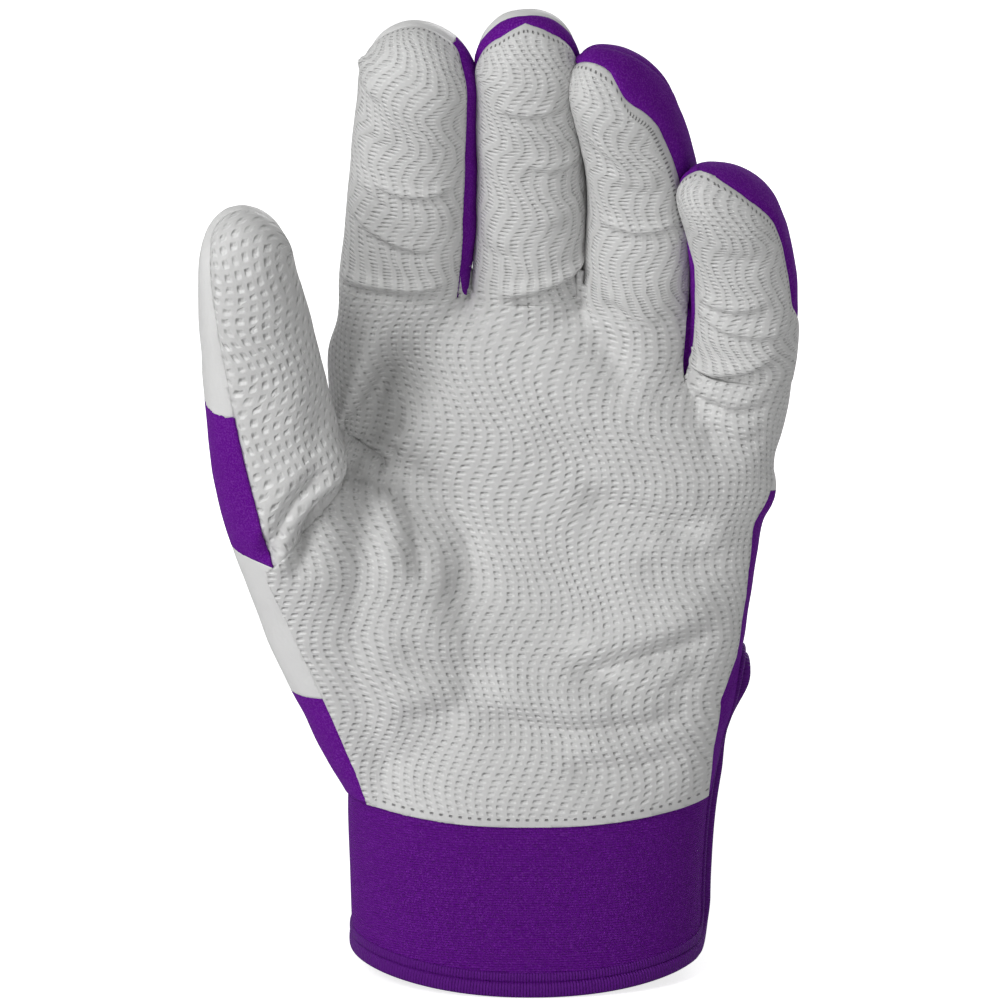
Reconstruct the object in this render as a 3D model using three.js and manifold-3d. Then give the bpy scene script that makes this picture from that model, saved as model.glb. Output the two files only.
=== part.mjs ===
// A left-hand batting glove as it stands when worn: fingers up along +Z, palm towards -Y, thumb towards -X.
// The origin is the centre of the wrist opening. All sizes are in millimetres and angles in degrees.
// The glove is lofted as a hand form, hollowed to its wall, and split along its seams into the sewn pieces.
import * as THREE from 'three';
import { mergeVertices } from 'three/addons/utils/BufferGeometryUtils.js';
import Module from 'manifold-3d';

const wasm = await Module();
wasm.setup();

// Walls, and the gap that neighbouring pieces keep at a seam
const LEATHER_WALL = 1.3;
const CUFF_WALL = 2.2;
const SEAM_GAP = 0.36;

// The hand form's cross-sections from the wrist up: x of both edges, y of the palm and of the back
const HAND_SECTIONS = [
  { z: 0, left: -36.2, right: 34.8, palm: -24.0, back: 24.0 },
  { z: 20, left: -36.2, right: 34.6, palm: -23.2, back: 23.2 },
  { z: 36, left: -36.6, right: 36.0, palm: -22.4, back: 22.6 },
  { z: 46, left: -36.4, right: 38.0, palm: -21.2, back: 21.4 },
  { z: 57, left: -36.6, right: 41.4, palm: -19.8, back: 20.0 },
  { z: 70, left: -37.0, right: 43.4, palm: -18.2, back: 18.4 },
  { z: 88, left: -37.0, right: 45.8, palm: -16.4, back: 16.8 },
  { z: 106, left: -37.8, right: 47.0, palm: -14.8, back: 15.8 },
  { z: 122, left: -40.6, right: 48.6, palm: -13.4, back: 14.8 },
  { z: 131, left: -38.8, right: 48.8, palm: -11.2, back: 13.0 },
  { z: 136, left: -35.0, right: 46.0, palm: -8.0, back: 9.6 },
  { z: 138, left: -30.0, right: 41.0, palm: -4.0, back: 5.0 },
];
const HAND_SQUARENESS = 2.4;
const HAND_SIDES = 24;
const HAND_RINGS = 14;
// The hem of the cuff dips at the middle of the palm and of the back
const HEM_RISE = 4.0;
// The knuckle line falls away towards the little finger
const KNUCKLE_DROP = { fromX: 9, slope: 0.74, fromZ: 84, toZ: 132 };

// Finger stalls: root inside the hand, length to the tip, lean in the palm's plane and curl towards it
// at root and tip, half-sizes at root, middle and tip, and the distance from the root to the crease
const FINGERS = {
  index: {
    root: [-25.8, 2.6, 117], length: 84, lean: [0, 6], curl: [5, 40], roll: -10,
    halfWidth: [12.6, 12.0, 10.2], halfDepth: [11.6, 10.8, 9.4], crease: 24.4,
  },
  middle: {
    root: [-1.2, 2.6, 116], length: 88, lean: [1, -4], curl: [5, 42], roll: 0,
    halfWidth: [11.0, 10.5, 9.4], halfDepth: [11.6, 10.8, 9.4], crease: 25.4,
  },
  ring: {
    root: [20.9, 2.6, 112], length: 86, lean: [1, -9], curl: [6, 44], roll: -10,
    halfWidth: [10.3, 9.8, 8.7], halfDepth: [11.2, 10.4, 9.0], crease: 27,
  },
  little: {
    root: [36.6, 1.6, 100], length: 75, lean: [18, -21.5], curl: [6, 42], roll: 0,
    halfWidth: [9.0, 10.1, 8.0], halfDepth: [10.4, 9.8, 8.2], crease: 27,
  },
};
const THUMB = {
  root: [-28.0, -3.0, 33], length: 136, lean: [-21.5, -2.5], curl: [2, 27], roll: 0,
  halfWidth: [6.6, 13.4, 8.2], halfDepth: [11.0, 14.0, 8.4],
};
const STALL_SQUARENESS = 2.3;
const STALL_SIDES = 14;
const STALL_RINGS = 6;
const TIP_ROUND = 1.25;
const TIP_RINGS = 3;

// Seams across a stall's section, as distances behind its mid-plane
const SIDE_SEAM_FRONT = -1.2;
const SIDE_SEAM_BACK = 3.6;
const PLAIN_SEAM = 0.6;
const TIP_SEAM_SIDE = 3.0;

// The thumb leaves the palm along a slanting seam between these two points, seen from the front
const THUMB_FORK = { x: -37.0, z: 109.5 };
const THUMB_HEEL = { x: -60.0, z: 84.5 };
const THUMB_SEAM_SIDE = -7.6;
const THUMB_SEAM_BACK = 2.0;
const THUMB_GUSSET_TOP = 96;

// Panels of the palm and of the back, seen from the front
const CUFF_TOP = 35;
const PALM_EDGE = [[-33.0, 35], [-36.2, 43], [-42.6, 57], [-48.6, 71], [-53.4, 85], [-53.4, 96]];
const ULNAR_SEAM = { low: -1.6, lowZ: 64, high: 4.0, highZ: 124 };
const WRIST_PANEL_TOP = 60;
const RADIAL_PANEL_EDGE = [[-14, 60], [-20, 92], [-27, 112]];
const KNUCKLE_PANEL_LOW = [[-60, 119], [4, 119], [36, 103], [70, 92]];

// Wrist slit on the little-finger side, and the tape that binds it and the cuff's lower edge
const SLIT = { mid: 2.4, gap: 2.6, top: 60 };
const TAPE_WIDTH = 3.2;
const TAPE_HEM = 5.0;
const TAPE_PROUD = 0.5;

// Closure on the back of the wrist: loop patch, hook patch, strap and pull, laid up outwards from the cuff
const PATCH_THICK = 0.8;
const STRAP_THICK = 1.5;
const STRAP = { low: 10, high: 32, free: -21, corner: 5, foot: 2.6 };
const PATCH = { low: 13, high: 29, from: -17, to: 6, corner: 2 };
const LOOP_TO = 20;
const PULL = { low: 14, high: 28, from: -19.5, to: -8, corner: 3, thick: 1.2 };

const REACH = 160; // longer than any cut through the glove
const RAD = Math.PI / 180;

const COLOURS = {
  embossedLeather: { color: 0xd3d3d2, roughness: 0.62, metalness: 0 },
  smoothLeather: { color: 0xe0e0df, roughness: 0.55, metalness: 0 },
  stretchFabric: { color: 0x4b0d78, roughness: 0.85, metalness: 0 },
  neoprene: { color: 0x4e0f7c, roughness: 0.8, metalness: 0 },
  tape: { color: 0x470b72, roughness: 0.75, metalness: 0 },
  hookAndLoop: { color: 0x2f0750, roughness: 0.9, metalness: 0 },
  pullRubber: { color: 0xd8d8d8, roughness: 0.5, metalness: 0 },
};
const MATERIALS = Object.fromEntries(
  Object.entries(COLOURS).map(([name, look]) => [name, new THREE.MeshStandardMaterial({ name, ...look })]),
);

const lerp = THREE.MathUtils.lerp;
const smoothstep = THREE.MathUtils.smoothstep;

// Turns a closed three.js geometry into a solid that can be joined and cut.
function solidOf(geometry) {
  const bare = geometry.clone();
  bare.deleteAttribute('normal');
  bare.deleteAttribute('uv');
  const merged = mergeVertices(bare, 1e-4);
  return new wasm.Manifold(new wasm.Mesh({
    numProp: 3,
    vertProperties: new Float32Array(merged.attributes.position.array),
    triVerts: new Uint32Array(merged.index.array),
  }));
}

function geometryOf(solid) {
  const mesh = solid.getMesh();
  const geometry = new THREE.BufferGeometry();
  geometry.setAttribute('position', new THREE.BufferAttribute(mesh.vertProperties, 3));
  geometry.setIndex(new THREE.BufferAttribute(mesh.triVerts, 1));
  geometry.computeVertexNormals();
  return geometry;
}

// A closed solid through rings of equally many points, listed anticlockwise about the direction of travel.
function loft(rings) {
  const sides = rings[0].length;
  const points = rings.flat();
  const triangles = [];
  for (let r = 0; r + 1 < rings.length; r++) {
    for (let i = 0; i < sides; i++) {
      const a = r * sides + i;
      const b = r * sides + (i + 1) % sides;
      triangles.push(a, b, b + sides, a, b + sides, a + sides);
    }
  }
  const middleOf = (ring) => ring.reduce((sum, p) => sum.add(p), new THREE.Vector3()).divideScalar(sides);
  const first = points.length;
  const top = (rings.length - 1) * sides;
  points.push(middleOf(rings[0]), middleOf(rings.at(-1)));
  for (let i = 0; i < sides; i++) {
    const next = (i + 1) % sides;
    triangles.push(first, next, i, first + 1, top + i, top + next);
  }
  const geometry = new THREE.BufferGeometry().setFromPoints(points);
  geometry.setIndex(triangles);
  return solidOf(geometry);
}

const squared = (value, squareness) => Math.sign(value) * Math.abs(value) ** (2 / squareness);

// The hand form from wrist to knuckles, grown outwards by a distance that may change with height,
// with its wrist end let down and its whole body moved back where that is asked for.
function handForm(grow, floor = 0, setBack = 0) {
  const curves = ['left', 'right', 'palm', 'back'].map((edge) => new THREE.SplineCurve(
    HAND_SECTIONS.map((s) => new THREE.Vector2(s.z, s[edge]))));
  const rings = [];
  for (let r = 0; r < HAND_RINGS; r++) {
    const along = r / (HAND_RINGS - 1);
    const [left, right, palm, back] = curves.map((curve) => curve.getPoint(along).y);
    const height = curves[0].getPoint(along).x;
    const g = grow(height);
    const ring = [];
    for (let i = 0; i < HAND_SIDES; i++) {
      const turn = (i / HAND_SIDES) * 2 * Math.PI;
      const across = squared(Math.cos(turn), HAND_SQUARENESS);
      const deep = squared(Math.sin(turn), HAND_SQUARENESS);
      const x = (left + right) / 2 + across * Math.max((right - left) / 2 + g, 1);
      const y = deep * Math.max((deep < 0 ? -palm : back) + g, 1);
      const fall = KNUCKLE_DROP.slope * Math.max(0, x - KNUCKLE_DROP.fromX)
        * smoothstep(height, KNUCKLE_DROP.fromZ, KNUCKLE_DROP.toZ);
      const z = (r === 0 ? floor : height) - fall + (along === 1 ? g : 0);
      ring.push(new THREE.Vector3(x, y + setBack, z));
    }
    rings.push(ring);
  }
  return loft(rings);
}

// A stall's centre line and section directions at a distance from its root: across, behind and along.
function stallFrame(stall, distance) {
  const steps = 24;
  const at = new THREE.Vector3(...stall.root);
  const direction = (s) => {
    const share = THREE.MathUtils.clamp(s / stall.length, 0, 1);
    const lean = lerp(...stall.lean, share) * RAD;
    const curl = lerp(...stall.curl, share) * RAD;
    const across = new THREE.Vector3(Math.cos(lean), 0, -Math.sin(lean));
    const upright = new THREE.Vector3(Math.sin(lean), 0, Math.cos(lean)).multiplyScalar(Math.cos(curl));
    return { across, along: upright.add(new THREE.Vector3(0, -Math.sin(curl), 0)) };
  };
  for (let i = 0; i < steps; i++) {
    const midStep = ((i + 0.5) / steps) * distance;
    at.addScaledVector(direction(midStep).along, distance / steps);
  }
  const { along, across } = direction(distance);
  across.applyAxisAngle(along, stall.roll * RAD);
  return { at, along, across, behind: new THREE.Vector3().crossVectors(along, across) };
}

const threePoint = ([root, middle, tip], share) => (share < 0.5
  ? lerp(root, middle, share * 2) : lerp(middle, tip, share * 2 - 1));

// A closed stall from its root to its rounded tip, grown outwards by a distance.
function stallForm(stall, grow) {
  const tip = stall.halfWidth[2] * TIP_ROUND;
  const stations = [];
  for (let r = 0; r <= STALL_RINGS; r++) {
    stations.push([(r / STALL_RINGS) * (stall.length - tip), 1]);
  }
  for (let r = 1; r <= TIP_RINGS; r++) {
    const turn = (r / TIP_RINGS) * 84 * RAD;
    stations.push([stall.length - tip + Math.sin(turn) * (tip + grow), Math.cos(turn)]);
  }
  return loft(stations.map(([distance, shrink]) => {
    const { at, across, behind } = stallFrame(stall, distance);
    const share = Math.min(distance / stall.length, 1);
    const halfWidth = (threePoint(stall.halfWidth, share) + grow) * shrink;
    const halfDepth = (threePoint(stall.halfDepth, share) + grow) * shrink;
    const ring = [];
    for (let i = 0; i < STALL_SIDES; i++) {
      const turn = ((i + 0.5) / STALL_SIDES) * 2 * Math.PI;
      ring.push(at.clone()
        .addScaledVector(across, halfWidth * squared(Math.cos(turn), STALL_SQUARENESS))
        .addScaledVector(behind, halfDepth * squared(Math.sin(turn), STALL_SQUARENESS)));
    }
    return ring;
  }));
}

// A cutter that follows a stall, with limits given across and behind its centre line.
function alongStall(stall, acrossFrom, acrossTo, behindFrom, behindTo) {
  const stations = 14;
  const overrun = 20;
  const corners = [
    [acrossFrom, behindFrom], [acrossTo, behindFrom], [acrossTo, behindTo], [acrossFrom, behindTo]];
  const rings = [];
  for (let r = 0; r <= stations; r++) {
    const distance = (r / stations) * (stall.length + overrun);
    const { at, across, behind } = stallFrame(stall, distance);
    rings.push(corners.map(([a, b]) => at.clone().addScaledVector(across, a).addScaledVector(behind, b)));
  }
  return loft(rings);
}

// Everything on the side of a plane that its normal points to.
function halfSpace(origin, normal) {
  const geometry = new THREE.BoxGeometry(2 * REACH, 2 * REACH, 2 * REACH).translate(0, 0, REACH);
  geometry.applyQuaternion(new THREE.Quaternion().setFromUnitVectors(new THREE.Vector3(0, 0, 1),
    normal.clone().normalize()));
  return solidOf(geometry.translate(origin.x, origin.y, origin.z));
}

// An outline drawn as seen from the front, in x and z, carried through the glove between two depths.
function throughGlove(shape, nearY, farY) {
  const depth = farY - nearY;
  const geometry = new THREE.ExtrudeGeometry(shape, { depth, bevelEnabled: false, curveSegments: 5 });
  return solidOf(geometry.rotateX(Math.PI / 2).translate(0, farY, 0));
}

const outlineOf = (points) => new THREE.Shape(points.map(([x, z]) => new THREE.Vector2(x, z)));

function roundedOutline(x0, x1, z0, z1, radius) {
  const shape = new THREE.Shape();
  shape.moveTo(x0 + radius, z0);
  shape.lineTo(x1 - radius, z0);
  shape.absarc(x1 - radius, z0 + radius, radius, -Math.PI / 2, 0);
  shape.lineTo(x1, z1 - radius);
  shape.absarc(x1 - radius, z1 - radius, radius, 0, Math.PI / 2);
  shape.lineTo(x0 + radius, z1);
  shape.absarc(x0 + radius, z1 - radius, radius, Math.PI / 2, Math.PI);
  shape.lineTo(x0, z0 + radius);
  shape.absarc(x0 + radius, z0 + radius, radius, Math.PI, Math.PI * 1.5);
  return shape;
}

function box(x0, x1, y0, y1, z0, z1) {
  const geometry = new THREE.BoxGeometry(x1 - x0, y1 - y0, z1 - z0);
  return solidOf(geometry.translate((x0 + x1) / 2, (y0 + y1) / 2, (z0 + z1) / 2));
}

const glove = new THREE.Group();
glove.name = 'batting_glove';

function addPiece(parent, name, solid, material) {
  const mesh = new THREE.Mesh(geometryOf(solid), material);
  mesh.name = name;
  parent.add(mesh);
}

const wallAt = (z) => lerp(CUFF_WALL, LEATHER_WALL, smoothstep(z, CUFF_TOP - 1, CUFF_TOP + 8));
const even = (distance) => () => distance;

// The hand form with its stalls joined on, outside and inside
const stalls = { ...FINGERS, thumb: THUMB };
const outerStalls = {};
const innerStalls = {};
for (const [name, stall] of Object.entries(stalls)) {
  outerStalls[name] = stallForm(stall, 0);
  innerStalls[name] = stallForm(stall, -LEATHER_WALL);
}
const handOuter = handForm(even(0));
const handInner = handForm((z) => -wallAt(z), -2);
const outer = Object.values(outerStalls).reduce((sum, stall) => sum.add(stall), handOuter);
const inner = Object.values(innerStalls).reduce((sum, stall) => sum.add(stall), handInner);

// The planes that part each stall from the palm, each with a seam gap
const half = SEAM_GAP / 2;
const partings = {};
for (const [name, stall] of Object.entries(FINGERS)) {
  const { at, along } = stallFrame(stall, stall.crease);
  partings[name] = { at, along };
}
const thumbLine = new THREE.Vector3(THUMB_FORK.x - THUMB_HEEL.x, 0, THUMB_FORK.z - THUMB_HEEL.z);
partings.thumb = {
  at: new THREE.Vector3(THUMB_FORK.x, 0, THUMB_FORK.z),
  along: new THREE.Vector3(-thumbLine.z, 0, thumbLine.x).normalize(),
};
const beyond = (name, step) => {
  const { at, along } = partings[name];
  return halfSpace(at.clone().addScaledVector(along, step), along);
};

// Finger and thumb stalls beyond their creases, hollow and clear of the hand
const handClear = handForm(even(SEAM_GAP));
const stallShells = {};
let hand = outer.subtract(inner);
for (const name of Object.keys(stalls)) {
  const shell = outerStalls[name].subtract(innerStalls[name]);
  stallShells[name] = shell.intersect(beyond(name, half)).subtract(handClear);
  hand = hand.subtract(stallForm(stalls[name], SEAM_GAP).intersect(beyond(name, -half)));
}

// Each finger is a palm-side leather, a back, and a side wall wherever it faces another finger
const WIDE = 45;
const sides = {
  index: { from: TIP_SEAM_SIDE, to: WIDE },
  middle: { from: -WIDE, to: WIDE },
  ring: { from: -WIDE, to: WIDE },
  little: { from: -WIDE, to: -TIP_SEAM_SIDE },
};
const backs = {
  index: MATERIALS.smoothLeather,
  middle: MATERIALS.smoothLeather,
  ring: MATERIALS.stretchFabric,
  little: MATERIALS.stretchFabric,
};
for (const [name, stall] of Object.entries(FINGERS)) {
  const { from, to } = sides[name];
  const group = new THREE.Group();
  group.name = `${name}_finger`;
  glove.add(group);
  const wall = alongStall(stall, from, to, SIDE_SEAM_FRONT + half, SIDE_SEAM_BACK - half);
  const wallRoom = alongStall(
    stall, from - SEAM_GAP, to + SEAM_GAP, SIDE_SEAM_FRONT - half, SIDE_SEAM_BACK + half);
  const front = alongStall(stall, -WIDE, WIDE, -WIDE, PLAIN_SEAM - half);
  const back = alongStall(stall, -WIDE, WIDE, PLAIN_SEAM + half, WIDE);
  const shell = stallShells[name];
  const frontShell = shell.intersect(front).subtract(wallRoom);
  const backShell = shell.intersect(back).subtract(wallRoom);
  addPiece(group, `${name}_palm_leather`, frontShell, MATERIALS.embossedLeather);
  addPiece(group, `${name}_side_wall`, shell.intersect(wall), MATERIALS.stretchFabric);
  addPiece(group, `${name}_back`, backShell, backs[name]);
}

// The thumb: a palm-side leather, a smooth back and a stretch gusset beside the heel of the thumb
const thumbGroup = new THREE.Group();
thumbGroup.name = 'thumb';
glove.add(thumbGroup);
const thumbFace = (step) => alongStall(THUMB, THUMB_SEAM_SIDE - step, WIDE, -WIDE, THUMB_SEAM_BACK + step);
const gussetTop = stallFrame(THUMB, THUMB_GUSSET_TOP);
const aboveGusset = (step) => halfSpace(
  gussetTop.at.clone().addScaledVector(gussetTop.along, step), gussetTop.along);
const thumbFront = stallShells.thumb.intersect(thumbFace(-half));
const thumbBack = stallShells.thumb.subtract(thumbFace(half));
addPiece(thumbGroup, 'thumb_palm_leather', thumbFront, MATERIALS.embossedLeather);
addPiece(thumbGroup, 'thumb_back', thumbBack.intersect(aboveGusset(half)), MATERIALS.smoothLeather);
addPiece(thumbGroup, 'thumb_gusset', thumbBack.subtract(aboveGusset(-half)), MATERIALS.stretchFabric);

// The bound edge: one tape round the cuff's hem and up both sides of the wrist slit
const handGroup = new THREE.Group();
handGroup.name = 'hand';
glove.add(handGroup);
const slitHalf = SLIT.gap / 2;
const slot = (margin) => box(
  0, REACH, SLIT.mid - slitHalf - margin, SLIT.mid + slitHalf + margin, -REACH, SLIT.top + margin);
const hemAt = (x) => HEM_RISE * (x / HAND_SECTIONS[0].left) ** 2;
const hemSteps = Array.from({ length: 13 }, (_, i) => 60 - 10 * i);
const belowHem = (lift) => throughGlove(outlineOf([
  [-60, -REACH], [60, -REACH], ...hemSteps.map((x) => [x, hemAt(x) + lift])]), -REACH, REACH);
const tapeBody = handForm(even(TAPE_PROUD)).subtract(handForm((z) => -wallAt(z) - TAPE_PROUD, -2));
const tapeZone = slot(TAPE_WIDTH).add(belowHem(TAPE_HEM)).subtract(slot(0).add(belowHem(0)));
addPiece(handGroup, 'edge_tape', tapeBody.intersect(tapeZone), MATERIALS.tape);
hand = hand.subtract(slot(TAPE_WIDTH + SEAM_GAP).add(belowHem(TAPE_HEM + SEAM_GAP)));

// The cuff, below the heel seam
const aboveCuff = (step) => halfSpace(new THREE.Vector3(0, 0, CUFF_TOP + step), new THREE.Vector3(0, 0, 1));
addPiece(handGroup, 'cuff', hand.subtract(aboveCuff(-half)), MATERIALS.neoprene);
hand = hand.intersect(aboveCuff(half));

// The palm leather: the front, as far as its edge on the thumb side and the seam on the little-finger side
const seamLean = (ULNAR_SEAM.high - ULNAR_SEAM.low) / (ULNAR_SEAM.highZ - ULNAR_SEAM.lowZ);
const behindSeam = (step) => halfSpace(new THREE.Vector3(0, ULNAR_SEAM.low + step, ULNAR_SEAM.lowZ),
  new THREE.Vector3(0, 1, -seamLean));
const palmOutline = (shift) => outlineOf([
  [REACH, CUFF_TOP - 5], ...[[PALM_EDGE[0][0], CUFF_TOP - 5], ...PALM_EDGE, [PALM_EDGE.at(-1)[0], REACH]]
    .map(([x, z]) => [x + shift, z]), [REACH, REACH]]);
const besideSlit = box(0, REACH, -REACH, SLIT.mid - slitHalf, -REACH, SLIT.top + TAPE_WIDTH);
const palmSide = (step) => throughGlove(palmOutline(-step), -REACH, REACH)
  .subtract(behindSeam(step).subtract(besideSlit));
addPiece(handGroup, 'palm_leather', hand.intersect(palmSide(-half)), MATERIALS.embossedLeather);
let back = hand.subtract(palmSide(half));

// The back: leather over the knuckles and round the thumb side, stretch fabric between and at the wrist
const reachThrough = (points) => throughGlove(outlineOf(points), -REACH, REACH);
const knuckleZone = (step) => reachThrough([
  ...KNUCKLE_PANEL_LOW.map(([x, z]) => [x, z - step]), [70, REACH + 60], [-60, REACH + 60]]);
const wristZone = (step) => reachThrough([
  [-REACH, 0], [REACH, 0], [REACH, WRIST_PANEL_TOP + step], [-REACH, WRIST_PANEL_TOP + step]]);
const radialZone = (step) => reachThrough([
  [-REACH, 0], [RADIAL_PANEL_EDGE[0][0] + step, 0], ...RADIAL_PANEL_EDGE.map(([x, z]) => [x + step, z]),
  [RADIAL_PANEL_EDGE.at(-1)[0] + step, REACH], [-REACH, REACH]]);
addPiece(handGroup, 'knuckle_panel', back.intersect(knuckleZone(-half)), MATERIALS.smoothLeather);
back = back.subtract(knuckleZone(half));
addPiece(handGroup, 'wrist_panel', back.intersect(wristZone(-half)), MATERIALS.stretchFabric);
back = back.subtract(wristZone(half));
addPiece(handGroup, 'thumb_side_panel', back.intersect(radialZone(-half)), MATERIALS.smoothLeather);
addPiece(handGroup, 'back_panel', back.subtract(radialZone(half)), MATERIALS.stretchFabric);

// The closure: a loop patch on the cuff, and a strap sewn at the slit's palm side, with hook patch and pull
const closure = new THREE.Group();
closure.name = 'closure';
glove.add(closure);
const layer = (from, thick, setBack) => handForm(even(from + thick), 0, setBack)
  .subtract(handForm(even(from), -2, setBack));
const onBack = ({ from, to, low, high, corner }, nearY = 0) => throughGlove(
  roundedOutline(from, to, low, high, corner), nearY, REACH);
const hookAt = SEAM_GAP + PATCH_THICK + SEAM_GAP;
const strapAt = TAPE_PROUD + SEAM_GAP;
const strapSetBack = hookAt + PATCH_THICK + SEAM_GAP - strapAt;
const strapFoot = SLIT.mid - slitHalf - STRAP.foot;
addPiece(closure, 'loop_patch', layer(SEAM_GAP, PATCH_THICK, 0)
  .intersect(onBack({ ...PATCH, to: LOOP_TO })), MATERIALS.hookAndLoop);
addPiece(closure, 'hook_patch', layer(hookAt, PATCH_THICK, 0)
  .intersect(onBack(PATCH)), MATERIALS.hookAndLoop);
addPiece(closure, 'closure_strap', layer(strapAt, STRAP_THICK, strapSetBack)
  .intersect(onBack({ ...STRAP, from: STRAP.free, to: REACH }, strapFoot)), MATERIALS.neoprene);
addPiece(closure, 'strap_pull', layer(strapAt + STRAP_THICK + SEAM_GAP, PULL.thick, strapSetBack)
  .intersect(onBack(PULL)), MATERIALS.pullRubber);

export default glove;
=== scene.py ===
import math

import bmesh
import bpy
import numpy as np
from mathutils import Matrix, Vector, noise
from mathutils.bvhtree import BVHTree


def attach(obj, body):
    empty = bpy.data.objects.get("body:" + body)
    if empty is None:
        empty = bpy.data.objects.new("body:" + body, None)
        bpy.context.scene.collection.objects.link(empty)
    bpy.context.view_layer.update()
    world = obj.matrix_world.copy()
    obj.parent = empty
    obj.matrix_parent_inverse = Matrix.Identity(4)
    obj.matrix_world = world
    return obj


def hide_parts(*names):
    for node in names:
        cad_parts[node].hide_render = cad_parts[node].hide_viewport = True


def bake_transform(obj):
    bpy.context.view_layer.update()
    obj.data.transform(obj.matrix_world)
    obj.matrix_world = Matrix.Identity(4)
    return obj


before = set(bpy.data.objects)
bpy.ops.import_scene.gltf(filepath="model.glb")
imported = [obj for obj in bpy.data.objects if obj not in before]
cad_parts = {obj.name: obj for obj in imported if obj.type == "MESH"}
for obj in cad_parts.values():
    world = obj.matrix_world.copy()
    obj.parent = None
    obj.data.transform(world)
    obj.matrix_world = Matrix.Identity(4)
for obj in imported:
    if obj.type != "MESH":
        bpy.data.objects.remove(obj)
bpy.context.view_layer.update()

# The hand form
# The glove keeps the shape of the hand that fills it: a flattened tube from the wrist to the knuckles,
# with the thumb and the four finger roots growing out of it. The panels of hand and thumb are cut from it.
MM = 0.001
HAND_HEIGHT = [0, 20, 36, 46, 57, 70, 88, 106, 122, 131, 136, 138]
HAND_LEFT = [-36.6, -37.1, -37.4, -36.8, -36.6, -37.0, -37.6, -40.0, -41.0, -39.0, -35.0, -30.0]
HAND_RIGHT = [35.0, 35.0, 36.2, 38.0, 41.4, 43.4, 45.8, 47.0, 48.6, 48.8, 46.0, 41.0]
HAND_PALM = [-24.0, -23.2, -22.4, -21.2, -19.8, -18.2, -16.4, -14.8, -13.4, -11.2, -8.0, -4.0]
HAND_BACK = [24.0, 23.2, 22.6, 21.4, 20.0, 18.4, 16.8, 15.8, 14.8, 13.0, 9.6, 5.0]
HAND_SQUARENESS = 2.4
STALL_SQUARENESS = 2.3
# the seam with the cuff: its height in the middle, and how far it has risen at this reach to either side
CUFF_TOP = 35.0
CUFF_RISE = 2.6
CUFF_REACH = 34

FINGERS = {
    "index": dict(root=(-25.8, 2.6, 117), length=84, lean=(0, 6), curl=(5, 40), roll=-10,
                  width=(12.6, 12.0, 10.2), depth=(11.6, 10.8, 9.4), crease=24.4),
    "middle": dict(root=(-1.2, 2.6, 116), length=88, lean=(1, -4), curl=(5, 42), roll=0,
                   width=(11.0, 10.5, 9.6), depth=(11.6, 10.8, 9.4), crease=25.4),
    "ring": dict(root=(20.9, 2.6, 112), length=86, lean=(1, -9), curl=(6, 44), roll=-10,
                 width=(10.3, 10.6, 9.2), depth=(11.2, 10.4, 9.0), crease=27.0),
    "little": dict(root=(36.6, 1.6, 100), length=75, lean=(18, -21.5), curl=(6, 42), roll=-8,
                   width=(9.0, 10.2, 8.4), depth=(10.4, 9.8, 8.2), crease=27.0),
}
THUMB = dict(root=(-28.0, -3.0, 33), length=136, lean=(-21.5, -2.5), curl=(2, 27), roll=0,
             width=(6.6, 13.4, 8.0), depth=(11.0, 14.0, 8.4))
TIP_ROUND = 1.25
# a stall's centre line runs on a little past its tip
PATH_REACH = 1.05
# the knuckle line falls towards the little finger: how steeply, from which x, and between which heights
FALL_SLOPE = 0.74
FALL_FROM = 9
FALL_HEIGHTS = (84, 132)


def ease(low, high, value):
    share = np.clip((np.asarray(value, dtype=float) - low) / (high - low), 0, 1)
    return share * share * (3 - 2 * share)


def through(knots, values, at):
    """A smooth curve through the given knots, read at the places asked for."""
    knots = np.asarray(knots, dtype=float)
    values = np.asarray(values, dtype=float)
    slopes = np.gradient(values, knots)
    at = np.clip(at, knots[0], knots[-1])
    low = np.clip(np.searchsorted(knots, at) - 1, 0, len(knots) - 2)
    span = knots[low + 1] - knots[low]
    t = (at - knots[low]) / span
    start = values[low] * (1 + 2 * t) * (1 - t) ** 2 + slopes[low] * span * t * (1 - t) ** 2
    end = values[low + 1] * t * t * (3 - 2 * t) + slopes[low + 1] * span * t * t * (t - 1)
    return start + end


def bell(value, width):
    return np.exp(-(value / width) ** 2)


def squared(value, squareness):
    return np.sign(value) * np.abs(value) ** (2 / squareness)


def unit_tube(sides, rings, closed=True):
    """A tube of radius 1 from z = 0 to 1, cut into rings."""
    bm = bmesh.new()
    bmesh.ops.create_cone(bm, cap_ends=closed, segments=sides, radius1=1, radius2=1, depth=1)
    bmesh.ops.translate(bm, verts=bm.verts, vec=(0, 0, 0.5))
    uprights = [e for e in bm.edges if abs(e.verts[0].co.z - e.verts[1].co.z) > 0.5]
    bmesh.ops.subdivide_edges(bm, edges=uprights, cuts=rings - 1, use_grid_fill=True)
    return bm


def places(bm):
    return np.array([v.co[:] for v in bm.verts])


def move_to(bm, spots):
    for vert, spot in zip(bm.verts, spots):
        vert.co = spot


def hand_sides(height):
    """How far the hand form reaches to the left, the right, the palm and the back at these heights."""
    return [through(HAND_HEIGHT, side, height) for side in (HAND_LEFT, HAND_RIGHT, HAND_PALM, HAND_BACK)]


def on_hand(turn, height, grow):
    """Points of the hand form at an angle round it, a height, and a distance outside it."""
    left, right, palm, back = hand_sides(height)
    across = squared(np.cos(turn), HAND_SQUARENESS)
    deep = squared(np.sin(turn), HAND_SQUARENESS)
    x = (left + right) / 2 + across * ((right - left) / 2 + grow)
    y = deep * (np.where(deep < 0, -palm, back) + grow)
    fall = FALL_SLOPE * np.maximum(0, x - FALL_FROM) * ease(*FALL_HEIGHTS, height)
    return np.stack([x, y, height - fall], axis=1)


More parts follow.
